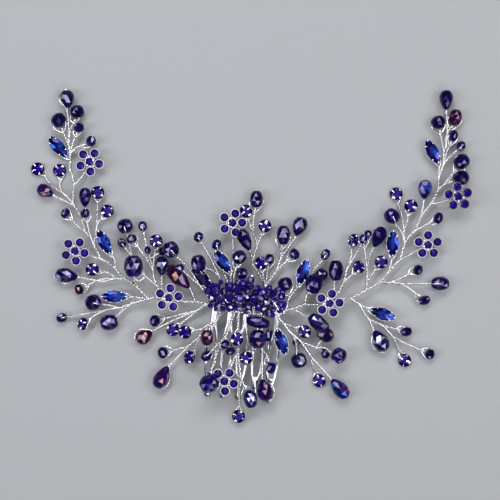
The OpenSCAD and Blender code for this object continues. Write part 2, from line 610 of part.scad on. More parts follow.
module bar_winding() {
    clear_w = tooth_pitch - stem_w - 0.3;
    turns = floor(clear_w / coil_d);
    end_turns = 2;
    color(silver) translate(on_bar(0, 0, bar_z)) rotate([0, 0, comb_turn]) rotate([0, 90, 0]) {
        for (i = [0 : tooth_count - 2])
            translate([0, 0, (i - (tooth_count - 2) / 2) * tooth_pitch - turns * coil_d / 2])
                sleeve(turns);
        for (side = [-1, 1]) translate([0, 0,
                side * (bar_len - end_turns * coil_d) / 2 - end_turns * coil_d / 2])
            sleeve(end_turns);
    }
}

module bar_beads() {
    color(bead_blue) for (i = [0 : len(bar_bead_spots) - 1])
        translate(bar_bead_spots[i]) rotate([25 * i, 0, 40 * i])
            cut_bead(0.88 * bar_bead_d, bar_bead_d);
}

comb();
bar_winding();
bar_beads();
for (t = [0 : len(trees) - 1]) wire_tree(t);
for (t = [0 : len(trees) - 1])
    bead_field(t);
drop_field([0]);  // left_wires_drops
drop_field([2]);  // right_wires_drops
drop_field([1, 3]);  // middle_drops
for (i = [0 : len(flowers) - 1])
    flower(flowers[i]);
for (i = [0 : len(navettes) - 1])
    navette(navettes[i]);
for (i = [0 : len(claws) - 1])
    claw_stone(claws[i]);
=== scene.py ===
# Bridal hair comb: blue glass beads and claw-set stones on twisted silver wire, lying on its back.
# Tables and shapes are in millimetres, and buildMesh turns them into metres.
import math
import bmesh
import bpy
import numpy as np
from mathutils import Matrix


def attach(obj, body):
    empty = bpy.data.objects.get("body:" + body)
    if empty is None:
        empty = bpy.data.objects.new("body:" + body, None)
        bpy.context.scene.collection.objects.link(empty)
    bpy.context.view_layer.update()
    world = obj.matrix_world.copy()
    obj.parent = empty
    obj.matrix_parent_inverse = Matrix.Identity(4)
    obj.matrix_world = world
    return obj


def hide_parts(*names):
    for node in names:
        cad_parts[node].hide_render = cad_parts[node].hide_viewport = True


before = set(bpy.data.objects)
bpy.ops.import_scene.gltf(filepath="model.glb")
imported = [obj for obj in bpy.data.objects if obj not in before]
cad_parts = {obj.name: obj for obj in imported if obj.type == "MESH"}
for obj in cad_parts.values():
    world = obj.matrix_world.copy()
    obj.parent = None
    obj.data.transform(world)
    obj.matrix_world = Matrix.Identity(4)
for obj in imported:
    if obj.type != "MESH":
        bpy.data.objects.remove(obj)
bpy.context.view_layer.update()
millimetre = 0.001
dice = np.random.default_rng(11)
print("frame loaded")

# the comb's bar: topZ, backZ and underZ are the heights of the wires tied over, behind and under it
barSize = {"middle": (-1.2, -20.2), "turn": -6.2, "width": 2.4, "height": 6.6,
           "topZ": 8.75, "backZ": 5.0, "underZ": 3.8, "pitch": 6.2, "teeth": 5, "stemWidth": 2.2}


def wayOf(turn):
    # unit vector in the plane, turned from X by so many degrees
    angle = math.radians(turn)
    return np.array([math.cos(angle), math.sin(angle), 0.0])


def onBar(u, v, z):
    # bar's middle + u along the bar + v towards the teeth
    along, down = wayOf(barSize["turn"]), wayOf(barSize["turn"] - 90)
    flat = u * along + v * down
    return [barSize["middle"][0] + flat[0], barSize["middle"][1] + flat[1], z]


# where wires join: name, point, the joint that it runs on to, sideways bow
leftJoints = [
    ["a1", [-72.5, 44.4, 3.6], "a2", 0], ["a2", [-72, 41.2, 3.6], "a3", 0],
    ["a3", [-72.2, 35.2, 3.4], "a4", 0.3], ["a4", [-70.6, 28.8, 3.2], "a5", -0.3],
    ["a5", [-70.8, 20.8, 3], "a6", 0.4], ["a6", [-67.2, 14.4, 3], "a7", 0],
    ["a7", [-65.8, 10, 3], "a8", 0.3], ["a8", [-62.6, 4.8, 3.2], "a9", 0],
    ["a9", [-59.6, -0.8, 3.4], "a10", 0.3], ["a10", [-54.2, -4.4, 3.6], "a11", -0.2],
    ["a11", [-50, -8.6, 3.8], "a12", 0.2], ["a12", [-44.8, -12.4, 4], "a13", 0],
    ["a13", [-40.8, -16.6, 4.2], "a14", 0.4], ["a14", [-35.2, -17, 4.2], "a15", 0],
    ["a15", [-26, -17.8, 4.2], "a16", 0], ["a16", [-22, -17.8, 4.2], "a17", 0],
    ["a17", [-17.4, -18.8, 3.9], "c1", 0], ["b1", [-75.2, 25.8, 2.8], "a5", 0.4],
    ["b2", [-61.6, 11.2, 3], "a8", 0], ["b3", [-59.2, -9.8, 3], "b5", 0],
    ["b4", [-47.6, -18.6, 3.4], "a13", 0], ["b5", [-54, -8.6, 3.4], "a11", 0],
    ["b6", [-52.8, -20.4, 2.8], "b4", 0], ["m1", [-41.2, -1.2, 3.4], "m2", 0],
    ["m2", [-39, -5.2, 3.4], "m4", -0.3], ["m3", [-47.6, 0.4, 3], "a12", -0.8],
    ["m4", [-37.2, -12, 3.8], "a14", 0], ["y1", [-21.2, -21.4, 3.6], "a17", 0],
    ["c1", onBar(-14.5, 0, barSize["underZ"]), "c2", 0], ["c2", onBar(-3, 0, barSize["underZ"]), "", 0],
]
topJoints = [
    ["n1", [-20, -11.6, 6.5], "n2", 0], ["n2", [-17.2, -15.2, 4.8], "t1", 0],
    ["n3", [-11.6, -10, 3.2], "t2", 0], ["n4", [-8.2, -12, 3.2], "t3", 0],
    ["n5", [-6.4, -11.6, 3.2], "t4", 0], ["n6", [-0.8, -9.4, 3.2], "t5", 0],
    ["o1", [1.2, 9.6, 3.6], "o2", 0.2], ["o2", [2.8, 4.4, 3.6], "o3", -0.3],
    ["o3", [1, -2.8, 3.6], "o4", 0.4], ["o4", [6, -12, 3.2], "t6", 0], ["p1", [12.2, -0.6, 3.8], "p2", 0],
    ["p2", [10.4, -5.4, 3.6], "o4", 0], ["t1", onBar(-13.4, -2.4, barSize["backZ"]), "t6", 0],
    ["t2", onBar(-8.4, -2.4, barSize["backZ"]), "", 0], ["t3", onBar(-6, -2.4, barSize["backZ"]), "", 0],
    ["t4", onBar(-4.2, -2.4, barSize["backZ"]), "", 0], ["t5", onBar(0.4, -2.4, barSize["backZ"]), "", 0],
    ["t6", onBar(8.2, -2.4, barSize["backZ"]), "", 0],
]
rightJoints = [
    ["r1", [78.6, 44.4, 3.4], "r2", 0], ["r2", [77.6, 42.4, 3.4], "r3", 0],
    ["r3", [77.5, 36.8, 3.4], "r4", 0], ["r4", [75.6, 32, 3.4], "r5", 0],
    ["r5", [75.2, 27, 3.4], "r6", 0.3], ["r6", [72.4, 21.4, 3.4], "r7", 0],
    ["r7", [68.4, 16, 3.4], "r8", 0], ["r8", [66.2, 10.6, 3.4], "r9", -0.3],
    ["r9", [61.8, 5.2, 3.6], "r10", 0], ["r10", [60, -1.2, 3.6], "r11", 0],
    ["r11", [55.6, -5.8, 3.8], "r12", 0], ["r12", [52, -10.2, 4], "r13", 0],
    ["r13", [46.2, -13.6, 4.2], "r14", 0], ["r14", [40, -16.7, 4.2], "r15", 0],
    ["r15", [37.6, -16.6, 4.2], "r16", 0], ["r16", [32.4, -18, 4.2], "r17", 0],
    ["r17", [27.2, -19.2, 4.2], "r18", 0], ["r18", [21.8, -19, 4.2], "r19", 0],
    ["r19", [17.2, -20.6, 4.2], "r20", 0], ["r20", [14.8, -21, 3.9], "c3", 0],
    ["q1", [15.6, -16.4, 4], "r20", -0.4], ["q2", [22.6, -15.2, 4], "r18", 0],
    ["s1", [37.5, -9.8, 4], "r16", 0.4], ["s2", [38.6, -5, 4], "s1", 0],
    ["s3", [46.4, -4.4, 7.6], "s4", 0], ["s4", [46.4, -10.4, 5.6], "r13", 0],
    ["e1", [61.6, 11.2, 3.6], "r9", 0], ["u1", [77.6, 28.8, 3.2], "r5", 0],
    ["v1", [43.8, -19, 4], "r14", 0], ["v2", [47.6, -25, 3.6], "v1", 0.3],
    ["v3", [53.2, -27.6, 3.2], "v2", 0], ["v4", [57.2, -32, 2.8], "v3", 0],
    ["w1", [56, -10.2, 3.6], "r12", 0], ["w2", [61.2, -10.8, 3.2], "w1", 0],
    ["c3", onBar(14, 0, barSize["underZ"]), "c4", 0], ["c4", onBar(1, 0, barSize["underZ"]), "", 0],
]
lowerJoints = [
    ["y2", [-17.4, -27.2, 8.4], "y4", 0], ["y3", [-20.2, -31.4, 6.4], "y4", 0.4],
    ["y4", [-13.2, -25.2, 8.4], "l1", 0], ["y5", [-24.8, -35.6, 4.4], "y3", 0],
    ["z1", [-9.6, -31.2, 8], "l2", 0], ["z2", [-5, -37.6, 7], "l3", 0], ["z3", [-4, -46, 5.6], "z2", 0],
    ["z4", [3.6, -35.2, 7.4], "l4", 0.4], ["z5", [4.8, -36.8, 7.2], "z4", 0],
    ["z6", [-14.8, -43.6, 9.6], "z1", 0.6], ["x1", [13.2, -26.4, 7.6], "l5", 0],
    ["x2", [15.6, -29.6, 6.8], "x1", 0], ["x3", [20.2, -33.8, 5.6], "x2", 0],
    ["x4", [26.4, -36.4, 4.4], "x3", 0], ["x5", [24.4, -40, 4], "x3", 0],
    ["l1", onBar(-10, 2, barSize["topZ"]), "l5", 0], ["l2", onBar(-4.6, 2, barSize["topZ"]), "", 0],
    ["l3", onBar(-3, 2, barSize["topZ"]), "", 0], ["l4", onBar(6.4, 2, barSize["topZ"]), "", 0],
    ["l5", onBar(12, 2, barSize["topZ"]), "", 0],
]
# round and oval beads: x, y, z, length along the hole, width, turn, joint, stem bow, how it is held, tint
beadRows = [
    [-69.2, 58.2, 3.2, 5.2, 5.4, 20, "a1", -0.9, "legs", "dark"],
    [-76.6, 54.8, 3.4, 5.6, 5.8, 40, "a1", 0, "legs", "dark"],
    [-68.4, 51.8, 4, 3.8, 4.2, 10, "a2", -0.4, "legs", "navy"],
    [-63.6, 46.4, 3.6, 4, 4.2, 80, "a2", -0.8, "legs", "navy"],
    [-74, 17.6, 3, 4, 3.6, 60, "a7", -0.4, "legs", "navy"],
    [-65.6, 17.4, 7, 3.6, 4, 90, "a8", -0.5, "legs", "navy"],
    [-68.6, -13, 2.4, 4, 3.8, 100, "b5", 1.4, "legs", "wine"],
    [-62.8, -18.2, 3.4, 6, 6.4, 30, "b6", 0.3, "front", "deep"],
    [-75.6, -24.4, 2.2, 4, 4, 20, "b6", 0, "front", "navy"],
    [-56.4, -26.2, 3.4, 6.8, 6.4, 10, "b4", 0.3, "pin", "lilac"],
    [-50, 12.4, 3.4, 5.8, 6, 20, "m3", 0.3, "front", "deep"],
    [-47.2, 7.2, 5.6, 4, 3.8, 30, "m1", 0, "legs", "pale"],
    [-51.4, 5.6, 2.4, 3.6, 3.6, 130, "m3", 0, "front", "navy"],
    [-46.2, -3.6, 8.6, 8.4, 7.6, 90, "m4", 0, "legs", "lilac"],
    [-43, 12.4, 3, 3.8, 3.8, 100, "m1", 0.3, "front", "navy"],
    [-40.8, 2.8, 5.6, 2.8, 2.8, 90, "m2", 0, "pin", "dark"],
    [-35, 2.3, 3.4, 3.2, 3.2, 60, "m1", 0, "pin", "dark"],
    [-31.4, 3, 6.6, 6.2, 6.4, 110, "n1", 0.8, "front", "navy"],
    [-27.8, -4.4, 11, 3.6, 3.6, 40, "n1", 0, "front", "navy"],
    [-20.4, -2.4, 9, 6.4, 6, 100, "n3", 1.2, "legs", "navy"],
    [-20.6, 8, 5, 4, 4, 60, "n3", 0.4, "front", "navy"],
    [-38.2, -25.6, 2.5, 4.4, 4.4, 90, "y1", 0, "legs", "dark"],
    [-35, -38.4, 2.6, 4.4, 4.4, 90, "y5", 0, "legs", "navy"],
    [-17, -31.8, 10.2, 6, 5.2, 90, "y4", 0, "pin", "orange"],
    [-17.2, -39.2, 8.2, 4.4, 4.2, 40, "z1", 0, "front", "navy"],
    [2.6, 23.2, 3.6, 6.4, 5.2, 90, "o1", -0.4, "legs", "dark"],
    [13.4, 8.8, 3.6, 7.4, 5.4, 90, "p1", 0, "legs", "lilac"],
    [17.8, 1.2, 4, 4.2, 4.2, 120, "p2", 0, "legs", "navy"],
    [7.8, -0.8, 2.6, 4, 4, 80, "o4", 0, "legs", "navy"],
    [-13.4, 5, 3, 4, 3.8, 60, "n4", -0.4, "front", "navy"],
    [-4.2, 0, 6.8, 5.4, 5.4, 30, "n5", -0.9, "legs", "pale"],
    [-3.2, -6.6, 4, 4.4, 4.6, 90, "n6", 0, "legs", "dark"],
    [14, -10.8, 5.6, 5.6, 5.6, 20, "q1", 0, "legs", "dark"],
    [25.4, -10.6, 8.6, 7.6, 6.8, 70, "q2", 0, "legs", "navy"],
    [28.6, -7.2, 2.9, 5, 5.2, 60, "q2", 0, "pin", "dark"],
    [34.4, -5.4, 4.4, 8, 6, 92, "r16", 0.3, "pin", "dark"],
    [30.2, 1, 4, 4.4, 3.8, 60, "q2", -1.8, "front", "navy"],
    [3.2, -25.7, 11.4, 9, 4.6, -10, "l4", 0, "pin", "violet"],
    [3, -32.2, 12.2, 7, 6.8, 90, "z4", 0, "pin", "sand"],
    [7.4, -30.8, 9.4, 5, 3.2, 80, "z4", 0, "pin", "lilac"],
    [-9.8, -34.4, 10.6, 3.6, 3.4, 60, "z1", 0, "pin", "dark"],
    [-7.8, -37.2, 9, 3.6, 3.4, 20, "z1", 0, "pin", "dark"],
    [-16, -49.6, 12.6, 7.2, 7.2, 30, "z6", 0, "pin", "violet"],
    [0.2, -56.6, 5.7, 6.8, 5.4, 100, "z3", 0.5, "legs", "pale"],
    [8.4, -44, 7.8, 4.4, 4, 80, "z5", -0.6, "legs", "navy"],
    [27.2, -26.2, 8.4, 9, 5.8, -40, "r19", 0, "pin", "pale"],
    [30.2, -31, 3.6, 6.4, 6, -30, "x4", 0, "pin", "sand"],
    [18.6, -34, 3, 3.2, 3.2, 40, "x3", 0, "pin", "navy"],
    [19.6, -41.4, 3.6, 6, 6.2, 20, "x2", -1, "pin", "pale"],
    [30.4, -38.6, 2.6, 4, 4, 80, "x4", 0, "pin", "navy"],
    [35.4, -39.2, 6.4, 6, 6, 60, "x4", -1.2, "pin", "navy"],
    [82.3, 55.9, 3.2, 6.2, 5.2, 80, "r1", -1.2, "legs", "rose"],
    [75.4, 54, 3, 5.4, 5.4, 20, "r2", 0, "legs", "dark"],
    [81.6, 48.6, 3, 4.2, 3.8, 80, "r3", -0.4, "legs", "navy"],
    [84.6, 44.4, 3, 3.8, 3.8, 60, "r3", -0.4, "front", "navy"],
    [84.8, 38.2, 3.4, 6, 6, 30, "u1", 0, "legs", "navy"],
    [84.6, 31.6, 3.2, 6, 6, 20, "u1", 0, "legs", "dark"],
    [56.8, 16.4, 3.6, 6, 6, 140, "r9", 0.8, "front", "violet"],
    [75.4, 15.6, 3.4, 4.4, 4, 70, "r8", 0, "legs", "navy"],
    [45, 7.2, 7.2, 3.6, 3.6, 90, "s3", 0, "legs", "navy"],
    [47, 9, 4.4, 3.4, 3.4, 60, "s2", 0, "legs", "navy"],
    [67.4, -5.2, 2.4, 4, 4, 60, "w1", 0.3, "legs", "dark"],
    [76.2, -10.6, 3.2, 6.8, 5.6, 0, "w2", 0, "front", "navy"],
    [70, -17.4, 2.4, 4.4, 4, 20, "w2", 0, "legs", "navy"],
    [62.8, -30, 2.4, 4.2, 4, 20, "v3", 0, "legs", "navy"],
    [72.2, -39, 2.4, 4, 4, 70, "v4", 0.3, "legs", "dark"],
]
# drops: x, y, z, length, width, turn of the tip, joint, stem bow, side of the wire loop, tint
dropRows = [
    [-73.2, 63.2, 3.4, 7.2, 5.6, -90, "a1", 0.2, -1, "pale"],
    [-82, 26.4, 3, 6.8, 5.4, -27, "a5", 0, 0, "plum"],
    [-65.8, 23.8, 5.4, 7.6, 5, -90, "a6", 0, 0, "deep"],
    [-73.4, -7.4, 3.4, 8.8, 6, -8, "b3", 0, -1, "lilac"],
    [-35.3, -3.6, 3.2, 7.6, 5.4, -90, "a14", 0, 0, "pale"],
    [-28.4, -8, 6.8, 11.8, 6.4, -45, "a16", 0, 0, "orange"],
    [-42.2, -31.8, 3.4, 7, 6, 35, "y1", 0.4, 1, "wine"],
    [-35.2, -48, 3.4, 9.6, 6, 60, "y5", 0, -1, "plum"],
    [19.8, 12.2, 3.6, 7.6, 6, -110, "p1", 0, 0, "lilac"],
    [-2, 6.8, 8.8, 8.8, 5.4, -65, "o3", 0, 0, "deep"],
    [5.8, -52.8, 6.9, 8.8, 6.4, 103, "z5", 0, -1, "plum"],
    [35.8, -52.6, 3.4, 9.4, 6, 132, "x5", 0, 0, "aqua"],
    [78.6, 62.9, 3.4, 7.8, 5.6, -90, "r1", 0.4, 0, "deep"],
    [70, 27, 4, 7.6, 5.6, -96, "r7", 0, 0, "shine"], [51.4, 8, 4, 8.6, 5.6, -115, "s3", 0, 0, "deep"],
    [52, -33.4, 3.6, 9, 6.4, 121, "v2", 0, 1, "pale"],
]
# claw-set stones: x, y, z of the girdle, lean, way it leans, joint, stem bow
clawRows = [
    [-85.4, 35.4, 1.5, 0, 0, "b1", -0.8], [-76.6, 34.8, 1.5, 0, 0, "b1", -0.6],
    [-61, 25.8, 3.4, 0, 0, "b2", 0], [-57.2, 18.4, 3.4, 0, 0, "b2", -0.8],
    [-63.2, -5, 3.4, 0, 0, "b5", 1.2], [-67.2, -26.8, 3.6, 40, 155, "b6", 1],
    [-37.6, 6.4, 3.8, 0, 0, "m2", 0], [-31, -29.2, 2.6, 0, 0, "y1", 0],
    [-26, -30, 6.2, 20, 200, "y2", -0.6], [-24.4, -40.2, 4, 35, 160, "y3", 0],
    [-1.6, 18.4, 2.3, 0, 0, "o1", 0], [6, 12.4, 3.6, 0, 0, "o2", 0], [4.4, -2.4, 6.4, 15, 200, "o4", 0],
    [-5.2, -32.4, 10.2, 0, 0, "l3", 0], [-1.6, -40, 8.8, 15, 240, "z4", 0],
    [-4.6, -63.9, 2.9, 0, 0, "z3", 0], [21.8, -29.8, 5.4, 0, 0, "x1", 0],
    [27.8, -49.8, 1.5, 0, 0, "x5", 0.6], [58.8, 25.4, 1.5, 0, 0, "e1", 0.4],
    [64.4, 20.4, 4.2, 0, 0, "e1", 0.4], [41.6, 6.6, 4, 40, 0, "s2", 0.6],
    [43.6, -4, 3.8, 30, 30, "s1", 0], [52.6, -2, 3.6, 0, 0, "s4", 0], [62.2, -41.6, 1.5, 0, 0, "v4", 0],
]
# pointed stones: x, y, z of the girdle, turn, joint, stem bow, tint
navetteRows = [
    [-76.9, 44.2, 3.2, -49, "a3", 0.5, "cobalt"], [-58.2, 6, 5.6, -63, "a10", 0.8, "shine"],
    [-54.4, -15.8, 4, 0, "a13", 0, "shine"], [-19.4, -8.2, 4.6, -47, "t1", 0, "dark"],
    [-11, -1.8, 5.8, -56, "n4", 0, "shine"], [21.2, -6, 4.6, 72, "q1", 0, "shine"],
    [12.4, -33.6, 9.6, -70, "l5", 0, "shine"], [73.2, 42.2, 3.6, -63, "r4", 0, "shine"],
    [57.2, 5.4, 3.8, 88, "r11", 0, "cobalt"], [53.2, -22.8, 4.4, -18, "v1", 0, "shine"],
]
# flowers: x, y, z of the backs, turn, joint, stem bow
flowerRows = [
    [-64, 38, 4, 59, "a4", 0.6], [-69.8, 2.4, 4.2, 60, "a9", 0], [-32.2, -16.2, 6.6, 81, "a15", 0],
    [-7, 13.6, 4, 1, "n5", 0], [31.6, -18.4, 6.4, 76, "r17", 0], [-10.2, -49.2, 7.1, 58, "z2", 0],
    [82.6, 24, 6.6, 95, "r6", 0.4], [71, 4.8, 4, 90, "r10", 0],
]
# beads massed over the bar: x, y, z
barBeadRows = [
    [-15, -16.4, 9.6], [-16.6, -13.4, 7.8], [-13.2, -12, 6.4], [-10.4, -13.6, 8.4], [-10, -17.6, 10.4],
    [-6.3, -17.2, 9.8], [-6, -14, 7.6], [-4.6, -10.4, 6.2], [-2.4, -10.4, 9.2], [0.2, -9.2, 6.2],
    [-1.2, -12.9, 6.2], [-4.8, -12.8, 10.9], [-1.6, -16, 8.2], [2.4, -14, 6.4], [1.6, -16.8, 9.9],
    [4.6, -16.6, 7.7], [5.8, -13.6, 9.5], [9.2, -14.4, 7.2], [6.4, -18, 10.7], [10, -17.6, 9.4],
    [12.9, -18.8, 11.3], [7.2, -21.7, 10.8], [-12.6, -15.4, 12.2], [-8, -15.9, 12.9],
    [-12.6, -19.2, 12.4], [-4, -16.3, 12.5], [-8.2, -11.8, 11.7], [-0.6, -19.3, 11.4],
    [3.6, -19.6, 12.4], [12.6, -15.6, 7.6], [-8, -19.8, 12.5],
]

treeJoints = {"left_wires": leftJoints, "top_wires": topJoints,
              "right_wires": rightJoints, "lower_wires": lowerJoints}
jointAt = {name: np.array(point) for rows in treeJoints.values() for name, point, onTo, bow in rows}
treeOf = {name: tree for tree, rows in treeJoints.items() for name, point, onTo, bow in rows}


def named(rows, fields):
    # each row as a dictionary: its place, then the rest by name
    return [{"place": np.array(row[:3], float), **dict(zip(fields, row[3:]))} for row in rows]


beads = named(beadRows, ("long", "wide", "turn", "joint", "bow", "hold", "tint"))
drops = named(dropRows, ("long", "wide", "turn", "joint", "bow", "loopSide", "tint"))
claws = named(clawRows, ("lean", "way", "joint", "bow"))
navettes = named(navetteRows, ("turn", "joint", "bow", "tint"))
flowers = named(flowerRows, ("turn", "joint", "bow"))


def unit(vectors):
    # each vector over its own length
    vectors = np.asarray(vectors, float)
    return vectors / np.linalg.norm(vectors, axis=-1, keepdims=True)


# surfaces

def ringFaces(rings, sides):
    # quad from each ring to the next, wrapped round
    k, i = np.meshgrid(np.arange(rings - 1), np.arange(sides), indexing="ij")
    a, b = k * sides + i, k * sides + (i + 1) % sides
    return np.stack([a, b, b + sides, a + sides], -1).reshape(-1, 4)


def facetFaces(rings, sides):
    # two triangles a facet, for rings that each stand half a facet on from the last
    k, i = np.meshgrid(np.arange(rings - 1), np.arange(sides), indexing="ij")
    a, b = k * sides + i, k * sides + (i + 1) % sides
    blank = np.full_like(a, -1)
    low = np.stack([a, b, a + sides, blank], -1)
    high = np.stack([a + sides, b, b + sides, blank], -1)
    return np.concatenate([low.reshape(-1, 4), high.reshape(-1, 4)])


def swayFaces(rings, sides):
    # two triangles a facet, for rings where every other one stands half a facet on
    k, i = np.meshgrid(np.arange(rings - 1), np.arange(sides), indexing="ij")
    a, b = k * sides + i, k * sides + (i + 1) % sides
    odd, blank = k % 2, np.full_like(a, -1)
    low = np.stack([a, b, np.where(odd, b, a) + sides, blank], -1)
    high = np.stack([a + sides, np.where(odd, a, b), b + sides, blank], -1)
    return np.concatenate([low.reshape(-1, 4), high.reshape(-1, 4)])


def closeRings(rings, low, high, faces):
    # rings of points with a pole at each end, and a fan of triangles to each pole
    count, sides = rings.shape[:2]
    i = np.arange(sides)
    after, last, blank = (i + 1) % sides, (count - 1) * sides, np.full(sides, -1)
    lowFan = np.stack([np.full(sides, count * sides), after, i, blank], 1)
    highFan = np.stack([np.full(sides, count * sides + 1), last + i, last + after, blank], 1)
    points = np.concatenate([rings.reshape(-1, 3), [low], [high]])
    return {"points": points, "faces": np.concatenate([faces, lowFan, highFan])}


def tube(path, radius, sides=6, upward=(0, 0, 1), flat=1.0):
    # circle carried along a path: point + radius (cos angle side + flat sin angle up)
    path = np.asarray(path, float)
    along = unit(np.gradient(path, axis=0))
    side = unit(np.cross(upward, along))
    up = np.cross(along, side)
    angle = np.arange(sides) * 2 * math.pi / sides
    radius = np.broadcast_to(radius, len(path))[:, None, None]
    rings = path[:, None] + radius * (np.cos(angle)[None, :, None] * side[:, None]
                                      + flat * np.sin(angle)[None, :, None] * up[:, None])
    bulge = radius[[0, -1], 0] * 0.5
    return closeRings(rings, path[0] - along[0] * bulge[0], path[-1] + along[-1] * bulge[1],
                      ringFaces(len(path), sides))


def lathe(profile, sides):
    # profile of (radius, height) turned about Z, with poles on the axis at its first and last heights
    profile = np.asarray(profile, float)
    angle = np.arange(sides) * 2 * math.pi / sides
    inner = profile[1:-1]
    rings = np.stack([inner[:, :1] * np.cos(angle), inner[:, :1] * np.sin(angle),
                      np.repeat(inner[:, 1:], sides, 1)], -1)
    return closeRings(rings, (0, 0, profile[0, 1]), (0, 0, profile[-1, 1]),
                      ringFaces(len(inner), sides))


def facetStack(rows, sides, low, high, roll=0.0):
    # rings of (height, radius) along Z, each turned half a facet from the last
    rows = np.asarray(rows, float)
    angle = (np.arange(sides)[None] + np.arange(len(rows))[:, None] / 2 + roll) * 2 * math.pi / sides
    rings = np.stack([rows[:, 1:] * np.cos(angle), rows[:, 1:] * np.sin(angle),
                      np.repeat(rows[:, :1], sides, 1)], -1)
    return closeRings(rings, (0, 0, low), (0, 0, high), facetFaces(len(rows), sides))


pointedOutline = {"slimming": 0.3, "extraAtTips": 1.6}


def lensStack(rows, halfLength, halfWidth, sides, low, high, step=0.0):
    # rings of (height, share, extra) on a pointed outline: x = a cos t, y = b sin t (1 - slimming cos t
    # squared), where a and b are each half size times the share, and the extra, which is more at the tips
    rows = np.asarray(rows, float)
    t = (np.arange(sides)[None] + step * (np.arange(len(rows))[:, None] % 2)) * 2 * math.pi / sides
    across = np.sin(t) * (1 - pointedOutline["slimming"] * np.cos(t) ** 2)
    rings = np.stack([(rows[:, 1:2] * halfLength + rows[:, 2:] * pointedOutline["extraAtTips"]) * np.cos(t),
                      (rows[:, 1:2] * halfWidth + rows[:, 2:]) * across,
                      np.repeat(rows[:, :1], sides, 1)], -1)
    faces = ringFaces(len(rows), sides) if step == 0 else swayFaces(len(rows), sides)
    return closeRings(rings, (0, 0, low), (0, 0, high), faces)


def spline(points, steps):
    # Catmull-Rom curve through the points: cubic between each two, slopes from their neighbours
    p = np.asarray(points, float)
    p = np.concatenate([[2 * p[0] - p[1]], p, [2 * p[-1] - p[-2]]])
    t = np.linspace(0, 1, steps, endpoint=False)[None, :, None]
    a, b, c, d = (p[i:len(p) - 3 + i, None] for i in range(4))
    curve = 0.5 * (2 * b + (c - a) * t + (2 * a - 5 * b + 4 * c - d) * t ** 2
                   + (3 * b - a - 3 * c + d) * t ** 3)
    return np.concatenate([curve.reshape(-1, 3), [p[-2]]])


def bezier(p0, p1, p2, p3, steps):
    # cubic between two ends, pulled towards two points
    t = np.linspace(0, 1, steps + 1)[:, None]
    return ((1 - t) ** 3 * p0 + 3 * (1 - t) ** 2 * t * p1 + 3 * (1 - t) * t ** 2 * p2 + t ** 3 * p3)


def evenly(path, step):
    # the same path with points at an even spacing along its length
    path = np.asarray(path, float)
    reach = np.concatenate([[0], np.cumsum(np.linalg.norm(np.diff(path, axis=0), axis=1))])
    marks = np.linspace(0, reach[-1], max(3, int(reach[-1] / step)))
    return np.stack([np.interp(marks, reach, path[:, axis]) for axis in range(3)], -1)


def bowed(a, b, bow):
    # straight line that bows to its left by the bow at its middle
    line = b - a
    side = unit(np.array([-line[1], line[0], 0.0]))
    t = np.linspace(0, 1, 5)[:, None]
    return a + line * t + side * 4 * bow * t * (1 - t)


def placed(shape, columns, place):
    # shape turned so that its X, Y and Z lie along the three columns, then moved
    turnedPoints = shape["points"] @ np.asarray(columns, float) + np.asarray(place, float)
    return {**shape, "points": turnedPoints}


def flatTurn(turn):
    # columns for a turn about Z
    return [wayOf(turn), wayOf(turn + 90), np.array([0.0, 0.0, 1.0])]


def alongTurn(turn):
    # columns that lay a shape's Z along a direction in the plane
    return [wayOf(turn + 90), np.array([0.0, 0.0, 1.0]), wayOf(turn)]


def buildMesh(name, shapes, materials, replaced, sharp=35):
    # shapes stacked end to end in one mesh, with each face's material, tint, film and painted shade
    points = np.concatenate([s["points"] for s in shapes]) * millimetre
    shifts = np.cumsum([0] + [len(s["points"]) for s in shapes[:-1]])
    faces = np.concatenate([np.where(s["faces"] < 0, -1, s["faces"] + shift)
                            for s, shift in zip(shapes, shifts)])
    repeat = [len(s["faces"]) for s in shapes]
    used = faces >= 0
    starts = np.concatenate([[0], np.cumsum(used.sum(1))[:-1]])
    mesh = bpy.data.meshes.new(name)
    mesh.vertices.add(len(points))
    mesh.vertices.foreach_set("co", points.ravel())
    mesh.loops.add(int(used.sum()))
    mesh.loops.foreach_set("vertex_index", faces[used].astype(np.int32))
    mesh.polygons.add(len(faces))
    mesh.polygons.foreach_set("loop_start", starts.astype(np.int32))
    mesh.polygons.foreach_set("material_index",
                              np.repeat([s.get("finish", 0) for s in shapes], repeat).astype(np.int32))
    smooth = np.repeat([s.get("finish", 0) == 0 for s in shapes], repeat)
    mesh.update(calc_edges=True)
    tint = mesh.attributes.new("tint", "FLOAT_COLOR", "FACE")
    colours = [np.broadcast_to(s.get("tint", (0.5, 0.5, 0.5, 1)), (len(s["faces"]), 4)) for s in shapes]
    tint.data.foreach_set("color", np.concatenate(colours).ravel())
    for share in ("film", "shade"):
        values = [np.broadcast_to(s.get(share, 0.0), len(s["faces"])) for s in shapes]
        attribute = mesh.attributes.new(share, "FLOAT", "FACE")
        attribute.data.foreach_set("value", np.concatenate(values).astype(float))
    mesh.validate()
    mesh.set_sharp_from_angle(angle=math.radians(sharp))
    mesh.polygons.foreach_set("use_smooth", smooth)
    for material in materials:
        mesh.materials.append(material)
    piece = bpy.data.objects.new(name, mesh)
    bpy.context.scene.collection.objects.link(piece)
    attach(piece, "root")
    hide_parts(*replaced)
    return piece
